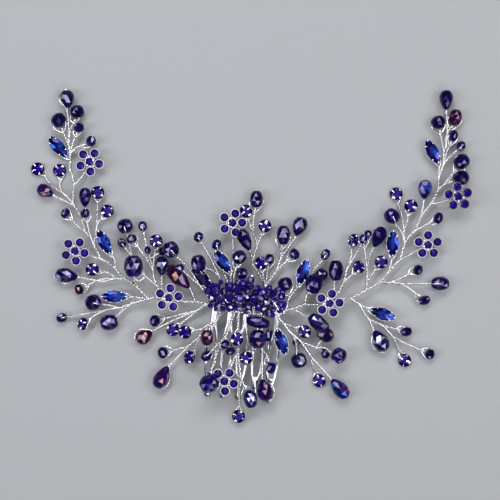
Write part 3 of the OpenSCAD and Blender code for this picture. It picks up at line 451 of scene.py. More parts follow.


# finishes

# clouds: their scale as a share of the grain's; dullFrom, dullTo: how strong they are where dulling starts
# and where it is whole; in the wire's look, the painted shade on the second strand of a twist
silverLook = {"colour": (0.84, 0.85, 0.87, 1), "dull": (0.44, 0.44, 0.47, 1), "grain": 900.0, "clouds": 0.2,
              "smoothest": 0.05, "roughest": 0.16, "bump": 0.6, "dent": 0.00002, "dullFrom": 0.5,
              "dullTo": 1.2}
wireLook = {**silverLook, "colour": (0.81, 0.81, 0.795, 1), "dull": (0.4, 0.4, 0.41, 1),
            "smoothest": 0.14, "roughest": 0.3, "paintedStrandShade": 0.4}
combLook = {**silverLook, "colour": (0.84, 0.85, 0.88, 1), "dull": (0.62, 0.63, 0.66, 1), "grain": 260.0,
            "smoothest": 0.03, "roughest": 0.09, "dent": 0.00001, "dullTo": 0.85,
            "stretch": (1.0, 0.12, 1.0)}
# through: how much light passes a plain facet, and coated: the share of that which passes a facet with a
# painted glint
glassLook = {"ior": 1.58, "filmIor": 2.1, "clouds": 700.0, "smoothest": 0.015, "roughest": 0.07,
             "through": 0.72, "coated": 0.15, "darkest": 0.55, "lightest": 1.2, "mirror": 0.36,
             "cast": (0.7, 0.6, 1, 1)}
stoneLook = {**glassLook, "through": 0.6, "smoothest": 0.01, "ior": 1.5, "cast": (0.6, 0.45, 1, 1)}
# brightness of facets over their tint, of whole beads, and of painted glints over their colour; how far off
# straight up the groups of painted glints lie, and how many groups lie at the sides or below
facetPlay = {"facets": (0.5, 1.6), "beads": (0.85, 1.15), "glints": (0.35, 1.1), "offTop": 0.4, "below": 3}
# how close to a window's way a facet with a film leans, in degrees, and how its thickness changes
filmPlay = {"within": 20, "thickness": (0.96, 1.04)}
# each kind of glass: its tint, the thickness of its coat in nanometres, and of its painted glints (pale
# facets that stand in for highlights) the colour, how many groups face up, and how many degrees a group is
# wide
glassKinds = {
    "navy": {"tint": (0.011, 0.002, 0.12), "film": 0, "glint": (0.44, 0.42, 0.64), "groups": 3, "wide": 10},
    "dark": {"tint": (0.008, 0.002, 0.095), "film": 0, "glint": (0.4, 0.37, 0.58), "groups": 1, "wide": 11},
    "deep": {"tint": (0.007, 0.001, 0.1), "film": 0, "glint": (0.12, 0.09, 0.36), "groups": 1, "wide": 9},
    "violet": {"tint": (0.015, 0.003, 0.17), "film": 0, "glint": (0.18, 0.14, 0.46), "groups": 2,
               "wide": 10},
    "bright": {"tint": (0.03, 0.007, 0.25), "film": 0, "glint": (0.48, 0.45, 0.74), "groups": 1, "wide": 13},
    "lilac": {"tint": (0.014, 0.003, 0.12), "film": 0, "glint": (0.42, 0.4, 0.62), "groups": 2, "wide": 18},
    "pale": {"tint": (0.013, 0.003, 0.11), "film": 40, "glint": (0.46, 0.45, 0.63), "groups": 2, "wide": 19},
    "sand": {"tint": (0.018, 0.003, 0.1), "film": 0, "glint": (0.62, 0.4, 0.3), "groups": 2, "wide": 13},
    "rose": {"tint": (0.055, 0.002, 0.045), "film": 0, "glint": (0.17, 0.02, 0.1), "groups": 3, "wide": 13},
    "orange": {"tint": (0.045, 0.003, 0.045), "film": 0, "glint": (0.66, 0.34, 0.28), "groups": 2,
               "wide": 14},
    "plum": {"tint": (0.034, 0.003, 0.15), "film": 0, "glint": (0.58, 0.36, 0.44), "groups": 2, "wide": 17},
    "wine": {"tint": (0.04, 0.002, 0.045), "film": 0, "glint": (0.72, 0.46, 0.46), "groups": 2, "wide": 21},
    "shine": {"tint": (0.008, 0.004, 0.12), "film": 141, "glint": (0.48, 0.46, 0.62), "groups": 2,
              "wide": 19},
    "aqua": {"tint": (0.008, 0.014, 0.12), "film": 152, "glint": (0.03, 0.13, 0.3), "groups": 2, "wide": 14},
    "cobalt": {"tint": (0.007, 0.008, 0.16), "film": 141},
    "stone": {"tint": (0.021, 0.001, 0.25), "film": 0},
}
# colour painted on the lit side of a coated stone: a painted highlight in the coat's colour
paintedLitColours = {"shine": (0.04, 0.14, 0.6), "cobalt": (0.04, 0.12, 0.58), "aqua": (0.24, 0.01, 0.25)}
# the way the painted lit side faces, how far from the middle it begins, and the share of facets that have a
# film
paintedLitSide = {"way": (0.9, 0.35, 0.25), "from": (0.2, 1.7), "filmed": 0.6}


def newMaterial(name, settings):
    # material whose Principled shader has these socket values
    material = bpy.data.materials.new(name)
    material.use_nodes = True
    for socket, value in settings.items():
        material.node_tree.nodes["Principled BSDF"].inputs[socket].default_value = value
    return material


def addNode(material, kind, settings):
    # shader node with these socket values
    node = material.node_tree.nodes.new(kind)
    for socket, value in settings.items():
        node.inputs[socket].default_value = value
    return node


def silverMaterial(name, look):
    # polished metal: fine grain sets gloss and dents, broad clouds dull the colour, and each face's painted
    # shade darkens it towards the same dull colour
    material = newMaterial(name, {"Metallic": 1.0, "IOR": 1.5})
    join = material.node_tree.links.new
    shader = material.node_tree.nodes["Principled BSDF"]
    place = addNode(material, "ShaderNodeTexCoord", {})
    stretched = addNode(material, "ShaderNodeMapping", {"Scale": look.get("stretch", (1, 1, 1))})
    grain = addNode(material, "ShaderNodeTexNoise", {"Scale": look["grain"], "Detail": 3.0})
    cloud = addNode(material, "ShaderNodeTexNoise", {"Scale": look["grain"] * look["clouds"], "Detail": 2.0})
    gloss = addNode(material, "ShaderNodeMapRange", {"To Min": look["smoothest"], "To Max": look["roughest"]})
    colours = addNode(material, "ShaderNodeMix", {})
    colours.data_type = "RGBA"
    colours.inputs["A"].default_value = look["colour"]
    colours.inputs["B"].default_value = look["dull"]
    spread = addNode(material, "ShaderNodeMapRange",
                     {"From Min": look["dullFrom"], "From Max": look["dullTo"]})
    shade = addNode(material, "ShaderNodeAttribute", {})
    shade.attribute_name = "shade"
    dullAndShaded = addNode(material, "ShaderNodeMath", {})
    dullAndShaded.use_clamp = True
    bump = addNode(material, "ShaderNodeBump", {"Strength": look["bump"], "Distance": look["dent"]})
    join(place.outputs["Object"], stretched.inputs["Vector"])
    join(stretched.outputs["Vector"], grain.inputs["Vector"])
    join(place.outputs["Object"], cloud.inputs["Vector"])
    join(grain.outputs["Fac"], gloss.inputs["Value"])
    join(gloss.outputs["Result"], shader.inputs["Roughness"])
    join(cloud.outputs["Fac"], spread.inputs["Value"])
    join(spread.outputs["Result"], dullAndShaded.inputs[0])
    join(shade.outputs["Fac"], dullAndShaded.inputs[1])
    join(dullAndShaded.outputs["Value"], colours.inputs["Factor"])
    join(colours.outputs["Result"], shader.inputs["Base Color"])
    join(grain.outputs["Fac"], bump.inputs["Height"])
    join(bump.outputs["Normal"], shader.inputs["Normal"])
    return material


def glassMaterial(name, look):
    # dark cut glass: each facet's own tint, faint clouds in it, and a thin coloured film
    material = newMaterial(name, {"IOR": look["ior"], "Thin Film IOR": look["filmIor"],
                                  "Specular Tint": look["cast"], "Specular IOR Level": look["mirror"]})
    join = material.node_tree.links.new
    shader = material.node_tree.nodes["Principled BSDF"]
    place = addNode(material, "ShaderNodeTexCoord", {})
    cloud = addNode(material, "ShaderNodeTexNoise", {"Scale": look["clouds"], "Detail": 2.0})
    tint = addNode(material, "ShaderNodeAttribute", {})
    tint.attribute_name = "tint"
    film = addNode(material, "ShaderNodeAttribute", {})
    film.attribute_name = "film"
    shade = addNode(material, "ShaderNodeMapRange",
                    {"To Min": look["darkest"], "To Max": look["lightest"]})
    gloss = addNode(material, "ShaderNodeMapRange", {"To Min": look["smoothest"], "To Max": look["roughest"]})
    clear = addNode(material, "ShaderNodeMapRange", {"To Max": look["through"]})
    deepened = addNode(material, "ShaderNodeVectorMath", {})
    deepened.operation = "SCALE"
    join(place.outputs["Object"], cloud.inputs["Vector"])
    join(cloud.outputs["Fac"], shade.inputs["Value"])
    join(cloud.outputs["Fac"], gloss.inputs["Value"])
    join(gloss.outputs["Result"], shader.inputs["Roughness"])
    join(tint.outputs["Color"], deepened.inputs["Vector"])
    join(shade.outputs["Result"], deepened.inputs["Scale"])
    join(deepened.outputs["Vector"], shader.inputs["Base Color"])
    join(film.outputs["Fac"], shader.inputs["Thin Film Thickness"])
    join(tint.outputs["Alpha"], clear.inputs["Value"])
    join(clear.outputs["Result"], shader.inputs["Transmission Weight"])
    return material


silver = silverMaterial("brightSilver", silverLook)
wireSilver = silverMaterial("silverWire", wireLook)
combSilver = silverMaterial("combSilver", combLook)
beadGlass = glassMaterial("beadGlass", glassLook)
stoneGlass = glassMaterial("stoneGlass", stoneLook)
print("finishes made")


# where each stem starts, by the same sums as the part

# gap: between a stem and what it holds; fit: between a stone and its wall; pair, branch and single: how thick
# the wires are; step: between a strand's points; overlap: how far a stem runs into its branch
wireSize = {"gap": 0.4, "fit": 0.12, "pair": 0.94, "branch": 1.12, "single": 0.25, "pairPitch": 2.5,
            "branchPitch": 3.0, "step": 0.3, "overlap": 0.5}
# over: how far a stone comes out over its seat; crown: its rise as a share of its half width
clawSize = {"stone": 4.6, "depth": 1.5, "wall": 0.35, "claw": 0.45, "over": 0.36, "crown": 0.3,
            "turned": 24}
navetteSize = {"length": 9.6, "width": 4.4, "crown": 0.36}
flowerSize = {"stone": 3.24, "over": 0.02, "cup": 4.0, "ring": 3.9, "height": 1.5, "petals": 5, "crown": 0.36,
              "deep": 0.7, "sunk": 0.3, "bridge": 0.2}
# widest ring and end face of the part's beads, as shares of length and width
plainBead = {"wideOver": 4.5, "wideRing": (0.18, 0.5), "smallRing": (0.0, 0.5), "face": (0.5, 0.27)}


def beadReach(long, wide, along, across):
    # distance from a bead's middle to its surface: the nearest of its side, its end and the slope between
    ring = plainBead["wideRing"] if wide > plainBead["wideOver"] else plainBead["smallRing"]
    face = plainBead["face"]
    slope = ((ring[1] * face[0] - ring[0] * face[1]) * wide * long
             / ((ring[1] - face[1]) * wide * along + (face[0] - ring[0]) * long * across))
    return min(ring[1] * wide / max(across, 1e-6), face[0] * long / max(along, 1e-6), slope)


def beadSeat(bead):
    # on the line from the bead to its joint, just clear of the bead
    toJoint = unit(jointAt[bead["joint"]] - bead["place"])
    along = abs(toJoint @ wayOf(bead["turn"]))
    reach = beadReach(bead["long"], bead["wide"], along, math.sqrt(max(0.0, 1 - along * along)))
    return bead["place"] + toJoint * (reach + wireSize["gap"])


def dropSeat(drop):
    # just past the drop's tip
    return drop["place"] + wayOf(drop["turn"]) * (drop["long"] / 2 + wireSize["gap"])


def leanColumns(lean, way):
    # columns of a setting that leans by so many degrees towards a direction
    out, across = wayOf(way), wayOf(way + 90)
    tilt = math.radians(lean)
    rise = np.array([0, 0, 1.0])
    return [math.cos(tilt) * out - math.sin(tilt) * rise, across,
            math.sin(tilt) * out + math.cos(tilt) * rise]


def settingMiddle(setting, normal):
    # half way down the setting's wall, on its axis
    return setting["place"] - np.asarray(normal) * clawSize["depth"] / 2


def clawSeat(claw):
    # half way down the setting's wall, just clear of it, on the side of the joint
    normal = leanColumns(claw["lean"], claw["way"])[2]
    toJoint = jointAt[claw["joint"]] - claw["place"]
    away = clawSize["stone"] / 2 + wireSize["fit"] + clawSize["claw"] + wireSize["gap"]
    return settingMiddle(claw, normal) + unit(toJoint - normal * (toJoint @ normal)) * away


def navetteSeat(navette):
    # just past the end of the setting that is nearer the joint
    middle = settingMiddle(navette, (0, 0, 1))
    end = 1 if (jointAt[navette["joint"]] - middle) @ wayOf(navette["turn"]) > 0 else -1
    away = navetteSize["length"] / 2 + 2 * wireSize["fit"] + 2 * clawSize["wall"] + wireSize["gap"]
    return middle + wayOf(navette["turn"]) * end * away


def flowerSeat(flower):
    # just under the cups, half way from the middle one to an outer one
    flatWay = unit((jointAt[flower["joint"]] - flower["place"]) * [1, 1, 0])
    return flower["place"] + flatWay * flowerSize["ring"] / 2 - [0, 0, wireSize["gap"] + wireSize["pair"] / 2]


# twisted wire

def strands(path, outer, pitch):
    # two strands: centre = path + offset (cos turn side + sin turn up), turn = 2 pi length / pitch + share,
    # and the second gets painted shade, so that the twist shows
    path = evenly(path, wireSize["step"])
    along = unit(np.gradient(path, axis=0))
    side = unit(np.cross((0, 0, 1), along))
    up = np.cross(along, side)
    length = np.concatenate([[0], np.cumsum(np.linalg.norm(np.diff(path, axis=0), axis=1))])
    radius = outer / 4
    made = []
    for share, shade in ((0, 0.0), (0.5, wireLook["paintedStrandShade"])):
        turn = 2 * math.pi * (length / pitch + share)
        centre = path + radius * (np.cos(turn)[:, None] * side + np.sin(turn)[:, None] * up)
        made.append({**tube(centre, radius), "shade": shade})
    return made


def branchPaths(rows):
    # each chain of joints, followed until it meets one already made
    seen, chains = set(), []
    onTo = {name: after for name, point, after, bow in rows}
    bows = {name: bow for name, point, after, bow in rows}
    for start in onTo:
        if onTo[start] and start not in onTo.values():
            path, at = [jointAt[start]], start
            while onTo[at] and at not in seen:
                seen.add(at)
                path.extend(bowed(jointAt[at], jointAt[onTo[at]], bows[at])[1:])
                at = onTo[at]
            chains.append(spline(path, steps=3))
    return chains


# single wires at a bead: how deep they end in it, how far out they swing as shares of half its length,
# how far down the stem, and how much a bead has to point down its stem to be held by its sides
legShape = {"inside": 0.35, "pull": 1.38, "pullDown": 0.22, "into": 0.8, "intoDown": 0.1, "meets": 1.9,
            "pointing": 0.75}
# wire over a bead's front: how deep it ends, how high it rises, and how it comes down to the stem
frontShape = {"inside": 0.25, "rise": 0.7, "forward": 0.2, "dip": 0.5, "back": 0.05}
# wire round a drop: shares of half its length and a bit along it, shares of half its width and a bit aside
loopStops = [(-1, 0.3, 0, 0), (-1, -0.3, 0.4, 0), (-0.55, 0, 1, 0.3), (0.1, 0, 1, 0.2), (0.75, 0, 0.45, 0)]
# wires at a setting: how they swing in, and where they meet; how far back and wide they start
settingLeg = {"pull": 0.7, "narrow": 0.4, "meets": 0.8, "claw": (1.3, 1.4), "navette": (2.1, 1.3)}
# a flower's stem: how it turns up, and how much thicker its end is than a single wire
postShape = {"start": 0.8, "past": 0.5, "turn": 0.5, "rise": 1.5, "thicker": 1.5}


def holdingLegs(bead, seat):
    # two single wires from the ends of a bead's hole, round its edges, to the stem,
    # and from its sides where its length points down the stem
    place, hole, half = bead["place"], wayOf(bead["turn"]), bead["long"] / 2
    toJoint = unit(jointAt[bead["joint"]] - place)
    if abs(toJoint @ hole) > legShape["pointing"]:
        hole, half = wayOf(bead["turn"] + 90), bead["wide"] / 2
    made = []
    for end in (-1, 1):
        out = hole * end
        start = place + out * (half - legShape["inside"])
        pull = place + out * half * legShape["pull"] + toJoint * bead["wide"] * legShape["pullDown"]
        into = seat + out * half * legShape["into"] + toJoint * legShape["intoDown"]
        path = bezier(start, pull, into, seat + toJoint * legShape["meets"], steps=11)
        made.append(tube(path, wireSize["single"]))
    return made


def overFront(bead, seat):
    # single wire from the hole that faces up, over the bead's front to the stem
    wide = bead["wide"]
    top = bead["place"] + [0, 0, wide / 2 - frontShape["inside"]]
    toJoint = unit((jointAt[bead["joint"]] - bead["place"]) * [1, 1, 0])
    rise = top + [0, 0, frontShape["rise"]] + toJoint * wide * frontShape["forward"]
    dip = seat + [0, 0, wide * frontShape["dip"]] - toJoint * wide * frontShape["back"]
    return [tube(bezier(top, rise, dip, seat, steps=9), wireSize["single"])]


def straightPin(bead, seat):
    # single wire from the bead's middle to the stem
    return [tube(np.linspace(bead["place"], seat, 4), wireSize["single"])]


def dropLoop(drop, seat):
    # single wire from the drop's broad end, round one side, back to its tip
    place, half, wide = drop["place"], drop["long"] / 2, drop["wide"] / 2
    way, side = wayOf(drop["turn"]), wayOf(drop["turn"] + 90) * drop["loopSide"]
    stops = [place + way * (half * a + b) + side * (wide * c + d) for a, b, c, d in loopStops]
    return [tube(spline(stops + [seat], steps=5), wireSize["single"])]


def settingLegs(setting, seat, normal, kind):
    # two single wires from a setting's wall, on each side of the stem, that meet at its start
    back, wide = settingLeg[kind]
    toSeat = unit(seat - settingMiddle(setting, normal))
    across = np.cross(normal, toSeat)
    toJoint = unit(jointAt[setting["joint"]] - seat)
    made = []
    for side in (-1, 1):
        start = seat - toSeat * back + across * wide * side
        pull = start + toSeat * back * settingLeg["pull"]
        into = seat + across * settingLeg["narrow"] * side
        path = bezier(start, pull, into, seat + toJoint * settingLeg["meets"], steps=7)
        made.append(tube(path, wireSize["single"]))
    return made


def flowerPost(flower, seat):
    # thicker wire at the stem's end, turned up to the backs of the cups
    up = np.array([0, 0, 1.0])
    toJoint = unit(jointAt[flower["joint"]] - seat)
    past = seat - toJoint * postShape["past"]
    stops = [seat + toJoint * postShape["start"], seat, past + up * postShape["turn"],
             past + up * postShape["rise"]]
    thick = wireSize["single"] * postShape["thicker"]
    return [tube(spline(stops, steps=4), thick, upward=(toJoint[1], -toJoint[0], 0))]


holdStyles = {"legs": holdingLegs, "front": overFront, "pin": straightPin}
stems = []


def addStem(held, seat, holders):
    # a stem: where it starts, its joint, its bow, and the single wires that hold its bead, stone or flower
    stems.append({"seat": seat, "joint": held["joint"], "bow": held["bow"], "holders": holders})


for bead in beads:
    addStem(bead, beadSeat(bead), holdStyles[bead["hold"]](bead, beadSeat(bead)))
for drop in drops:
    loop = dropLoop(drop, dropSeat(drop)) if drop["loopSide"] else []
    addStem(drop, dropSeat(drop), straightPin(drop, dropSeat(drop)) + loop)
for claw in claws:
    normal = leanColumns(claw["lean"], claw["way"])[2]
    addStem(claw, clawSeat(claw), settingLegs(claw, clawSeat(claw), normal, "claw"))
for navette in navettes:
    addStem(navette, navetteSeat(navette), settingLegs(navette, navetteSeat(navette), (0, 0, 1), "navette"))
for flower in flowers:
    addStem(flower, flowerSeat(flower), flowerPost(flower, flowerSeat(flower)))

for tree, rows in treeJoints.items():
    shapes = []
    for path in branchPaths(rows):
        shapes += strands(path, wireSize["branch"], wireSize["branchPitch"])
    for stem in stems:
        if treeOf[stem["joint"]] == tree:
            path = bowed(stem["seat"], jointAt[stem["joint"]], stem["bow"])
            path = np.concatenate([path, [path[-1] + unit(path[-1] - path[-2]) * wireSize["overlap"]]])
            path = spline(path, steps=3)
            shapes += strands(path, wireSize["pair"], wireSize["pairPitch"]) + stem["holders"]
    buildMesh(tree + "_twist", shapes, [wireSilver], [tree], sharp=180)
print("wires twisted")


# beads and drops

# where the window lights are, in metres, and the way that a facet leans when it shows one to the camera
windowPlaces = {"windowTop": (-0.16, 0.36, 0.6), "windowRight": (0.42, 0.06, 0.5),
                "windowLeft": (-0.38, -0.04, 0.55), "windowLow": (0.22, -0.36, 0.56)}
windowAims = unit(unit(list(windowPlaces.values())) + [0, 0, 1])
# rings of facets: height as a share of the length, and radius as a share of the width; ends: where the
# middles of the two end faces lie, sunk on a bead, where its hole opens
beadCut = {"sides": 10, "wideRows": [(-0.5, 0.25), (-0.37, 0.4), (-0.13, 0.5), (0.13, 0.5), (0.37, 0.4),
                                     (0.5, 0.25)],
           "smallRows": [(-0.5, 0.25), (-0.2, 0.47), (0.2, 0.47), (0.5, 0.25)], "smallUnder": 4.6,
           "ends": 0.44}
dropCut = {"sides": 9, "rows": [(-0.5, 0.18), (-0.42, 0.36), (-0.2, 0.5), (0.02, 0.48), (0.22, 0.38),
                                (0.4, 0.23), (0.5, 0.09)], "ends": 0.5}
# rolls that a bead is tried in, the plain tints that may also lie in any of them, and how often they don't
rollChoice = {"rolls": 12, "plain": ("navy", "dark", "violet"), "best": 0.7}


def facetNormals(shape):
    # each facet's direction: cross product of two of its edges
    a, b, c = (shape["points"][shape["faces"][:, k]] for k in range(3))
    return unit(np.cross(b - a, c - a) + 1e-9)


def facetCentres(shape):
    # mean of each facet's first three corners
    return shape["points"][shape["faces"][:, :3]].mean(1)


def glassOf(shape, tint, facetGlow=facetPlay["facets"]):
    # each facet lighter or darker than the tint by a random share, and a film on those that lean towards a
    # window; a coated stone has a painted highlight in its coat's colour on one side, and a film on random
    # facets
    normals = facetNormals(shape)
    glow = dice.uniform(*facetGlow, len(normals)) * dice.uniform(*facetPlay["beads"])
    colour = np.clip(np.array(glassKinds[tint]["tint"]) * glow[:, None], 0, 1)
    if tint in paintedLitColours:
        coated = dice.uniform(size=len(normals)) < paintedLitSide["filmed"]
        centres = facetCentres(shape)
        reach = (centres - centres.mean(0)) @ unit(paintedLitSide["way"])
        # painted highlight: facets past a random reach on the lit side take the coat's bright colour
        paintedLitFacets = reach > dice.uniform(*paintedLitSide["from"], len(centres))
        colour[paintedLitFacets] = np.clip(np.array(paintedLitColours[tint]) * glow[paintedLitFacets, None], 0, 1)
    else:
        coated = (normals @ windowAims.T).max(1) > math.cos(math.radians(filmPlay["within"]))
    thickness = glassKinds[tint]["film"] * dice.uniform(*filmPlay["thickness"], len(normals))
    tints = np.concatenate([colour, np.ones((len(colour), 1))], 1)
    return {**shape, "tint": tints, "film": np.where(coated, thickness, 0.0)}


def paintedGlints(shape, tint):
    # facets within some degrees of a few random ways up, or of a few sideways or down, take a painted glint:
    # a pale colour that stands in for a highlight
    centres = facetCentres(shape)
    outward, kind = unit(centres - centres.mean(0)), glassKinds[tint]
    upward = dice.normal(0, facetPlay["offTop"], (kind["groups"], 3)) + [0, 0, 1]
    below = dice.normal(0, 1, (facetPlay["below"], 3))
    below[:, 2] = -np.abs(below[:, 2])
    ways = unit(np.concatenate([upward, below]))
    near = (outward @ ways.T).max(1) > math.cos(math.radians(kind["wide"]))
    colour = shape["tint"].copy()
    colour[near, :3] = np.array(kind["glint"]) * dice.uniform(*facetPlay["glints"], (near.sum(), 1))
    # painted glints let less light through, so that they stay pale
    colour[near, 3] = glassLook["coated"]
    return {**shape, "tint": colour}


def rolled(cut, long, wide, columns, tint):
    # of a few rolls about its hole, the one whose facets lean best towards all windows but one; the deepest
    # tint takes the worst roll, and a plain tint at times any
    count = rollChoice["rolls"]
    trials = [placed(cut(long, wide, roll), columns, (0, 0, 0)) for roll in np.arange(count) / count]
    catch = [np.sort((facetNormals(trial) @ windowAims.T).max(0))[1:].sum() for trial in trials]
    if tint == "deep":
        return trials[int(np.argmin(catch))]
    if tint not in rollChoice["plain"] or dice.uniform() < rollChoice["best"]:
        return trials[int(np.argmax(catch))]
    return trials[int(dice.integers(count))]


def cutStack(rows, cut, long, wide, roll):
    # the cut's rings, each height times the length and each radius times the width
    end = cut["ends"] * long
    return facetStack([(a * long, b * wide) for a, b in rows], cut["sides"], -end, end, roll)


def cutBead(long, wide, roll):
    # faceted bead along Z with a dimple where its hole opens
    rows = beadCut["smallRows"] if wide < beadCut["smallUnder"] else beadCut["wideRows"]
    return cutStack(rows, beadCut, long, wide, roll)


def cutDrop(long, wide, roll):
    # faceted drop along Z with its tip up
    return cutStack(dropCut["rows"], dropCut, long, wide, roll)


def strung(cut, bead):
    # bead or drop, cut, turned and put in its place
    shape = rolled(cut, bead["long"], bead["wide"], alongTurn(bead["turn"]), bead["tint"])
    made = glassOf({**shape, "points": shape["points"] + bead["place"], "finish": 1}, bead["tint"])
    return paintedGlints(made, bead["tint"])


def buildBeads(name, shapes, node):
    # one node's beads, in one mesh
    buildMesh(name, shapes, [silver, beadGlass], [node])


for tree in treeJoints:
    shapes = [strung(cutBead, bead) for bead in beads if treeOf[bead["joint"]] == tree]
    buildBeads(tree + "_cut_beads", shapes, tree + "_beads")
dropNodes = {"left_wires_drops": ["left_wires"], "right_wires_drops": ["right_wires"],
             "middle_drops": ["top_wires", "lower_wires"]}
for node, trees in dropNodes.items():
    shapes = [strung(cutDrop, drop) for drop in drops if treeOf[drop["joint"]] in trees]
    buildBeads(node + "_cut", shapes, node)
print("beads and drops cut")


# beads and wires massed over the bar

# turns of a bead about X and then about Z, from one to the next, and how lively its facets are
barBeadSize = {"across": 3.4, "long": 3.0, "tumble": 25, "turn": 40, "rolls": 7, "paleEvery": 3,
               "glow": (0.2, 2.6), "wire": 0.22}
# small beads between them: tried at random over this part of the bar, at a height that falls to both sides
# and by a random sinking, which is more above the bar; each is kept if it is near enough to a large bead
# and clear of it and of the others
fillerSize = {"across": 2.2, "long": 0.9, "rolls": 5, "from": (-15, -9), "to": (13.6, 1.8), "tries": 1400,
              "z": 10, "fall": 0.22, "aboveBar": -2.4, "sunkAbove": 3.4, "sunkBelow": 0.8, "clearOf": 2.45,
              "within": 3.5, "glow": (0.2, 2.8)}
# over the beads and fanning out below the bar: each wire's points
barWires = [
    [[-13.6, -13.2, 10.4], [-12.4, -14.4, 11], [-12.8, -17.2, 11.4], [-13.2, -19.2, 9.8]],
    [[-5.6, -15.4, 11.2], [-5.2, -17.4, 12], [-4.4, -20, 10.6]],
    [[-4.9, -15.6, 11.4], [-4.4, -17.6, 12], [-3.6, -20, 10.6]],
    [[-4.2, -15.8, 11.2], [-3.7, -17.8, 11.8], [-2.9, -20, 10.6]],
    [[-8.4, -19.2, 11], [-9.6, -20.8, 10.6], [-11.2, -22.8, 9.6], [-12.4, -24.4, 8.8]],
    [[-2, -18.8, 10.8], [-1, -20, 10.6], [0, -21.6, 10.2], [0.4, -24.4, 9.6]],
    [[0.8, -18.8, 11], [1.2, -21, 10.6], [1.6, -23.6, 10]],
    [[3.2, -20.4, 10.6], [4, -21.6, 10.4], [4.8, -23.2, 10], [5.4, -26, 9.4]],
    [[-4, -21.6, 10.4], [-4.6, -23, 10], [-5.2, -24.4, 9.6]],
    [[0.8, -3.2, 5], [0.8, -7.6, 5.6], [1.4, -8.6, 6.8], [3.2, -6.6, 5.6]],
    [[7.4, -16.2, 11.2], [9.2, -17.6, 11.8], [11, -20.4, 10.4], [12.2, -22.6, 9.4]],
    [[-10.8, -15, 10.8], [-9.2, -17.4, 12.4], [-7.6, -19.6, 10.8], [-7.2, -21.6, 10]],
]


def tumble(index):
    # columns for a turn about X and then one about Z, each by so many degrees a bead
    about, turn = math.radians(barBeadSize["tumble"] * index), barBeadSize["turn"] * index
    x, y, z = np.eye(3)
    y, z = (math.cos(about) * y + math.sin(about) * z), (math.cos(about) * z - math.sin(about) * y)
    spin = np.array([wayOf(turn), wayOf(turn + 90), [0, 0, 1]])
    return [y @ spin, z @ spin, x @ spin]


shapes = []
for index, place in enumerate(barBeadRows):
    bead = cutBead(barBeadSize["long"], barBeadSize["across"], index / barBeadSize["rolls"])
    tint = "bright" if index % barBeadSize["paleEvery"] else "pale"
    made = glassOf(placed(bead, tumble(index), place), tint, barBeadSize["glow"])
    shapes.append({**paintedGlints(made, tint), "finish": 1})
fillers = []
for u, v in dice.uniform(fillerSize["from"], fillerSize["to"], (fillerSize["tries"], 2)):
    sunk = dice.uniform(0, fillerSize["sunkAbove"] if v < fillerSize["aboveBar"] else fillerSize["sunkBelow"])
    spot = np.array(onBar(u, v, fillerSize["z"] - fillerSize["fall"] * abs(v) - sunk))
    apart = np.linalg.norm(np.array(barBeadRows) - spot, axis=1).min()
    between = min([np.linalg.norm(spot - other) for other in fillers], default=math.inf)
    if fillerSize["clearOf"] < apart < fillerSize["within"] and between > fillerSize["across"]:
        fillers.append(spot)
for index, spot in enumerate(fillers):
    across = fillerSize["across"]
    bead = cutBead(across * fillerSize["long"], across, index / fillerSize["rolls"])
    made = glassOf(placed(bead, tumble(index * 3), spot), "bright", fillerSize["glow"])
    shapes.append({**paintedGlints(made, "bright"), "finish": 1})
print("small beads between:", len(fillers))
shapes += [tube(spline(points, steps=5), barBeadSize["wire"]) for points in barWires]
buildBeads("bar_beads_cut", shapes, "bar_beads")

# wire wound on the bar: how far its middle line stands off, where its last turn stops short, points a turn,
# its distance from the teeth, how far the bar runs past the outer teeth, and turns at each of its ends
coilSize = {"wire": 0.6, "off": 0.56, "short": 0.3, "points": 14, "clear": 0.3, "barPast": 2.8, "endTurns": 2}


def barCoil(start, turns):
    # helix round the bar: radius (cos turn across + sin turn up) + one wire's width along for each turn
    coil, radius = coilSize["wire"], barSize["width"] / 2 + coilSize["off"]
    turn = np.linspace(0, 2 * math.pi * (turns - coilSize["short"]), turns * coilSize["points"])
    along = start + coil / 2 + turn / (2 * math.pi) * coil
    middle = np.array(onBar(0, 0, barSize["height"]))
    path = (middle + along[:, None] * wayOf(barSize["turn"])
            + radius * (np.cos(turn)[:, None] * wayOf(barSize["turn"] + 90)
                        + np.sin(turn)[:, None] * np.array([0, 0, 1])))
    return tube(path, coil / 2, upward=wayOf(barSize["turn"]))


coilTurns = int((barSize["pitch"] - barSize["stemWidth"] - coilSize["clear"]) / coilSize["wire"])
barEnd = (barSize["teeth"] - 1) * barSize["pitch"] / 2 + coilSize["barPast"]
gaps = [(k - (barSize["teeth"] - 2) / 2) * barSize["pitch"] for k in range(barSize["teeth"] - 1)]
coils = [barCoil(gap - coilTurns * coilSize["wire"] / 2, coilTurns) for gap in gaps]
for start in (-barEnd, barEnd - coilSize["endTurns"] * coilSize["wire"]):
    coils.append(barCoil(start, coilSize["endTurns"]))
buildMesh("bar_winding_coil", coils, [silver], ["bar_winding"], sharp=180)
print("bar wound and beaded")


# stones in their settings

# a round stone: its ring below, as shares of depth and radius; half its girdle's height; its crown's middle
# ring, as shares of rise and radius; its table's share of the radius, and how level a table's facet is
stoneCut = {"below": (0.5, 0.55), "girdle": 0.06, "crown": (0.6, 0.82), "table": 0.56, "flat": 0.97}
# painted sparkle on the facets of its table, painted shade on those round it, and the facets' range on a
# stone with a painted lit side
stonePlay = {"table": (0.3, 2.8), "crown": (0.2, 0.8), "sided": (0.1, 1.7)}
flowerPlay = {"table": (0.15, 2.7), "crown": (0.05, 1.5)}


def roundStone(radius, depth, sides, rise):
    # point, pavilion, girdle, crown and table, as rings that step half a facet
    below, crown = stoneCut["below"], stoneCut["crown"]
    rows = [(-depth * below[0], radius * below[1]), (-stoneCut["girdle"], radius),
            (stoneCut["girdle"], radius), (rise * crown[0], radius * crown[1]),
            (rise, radius * stoneCut["table"])]
    return facetStack(rows, sides, -depth, rise)


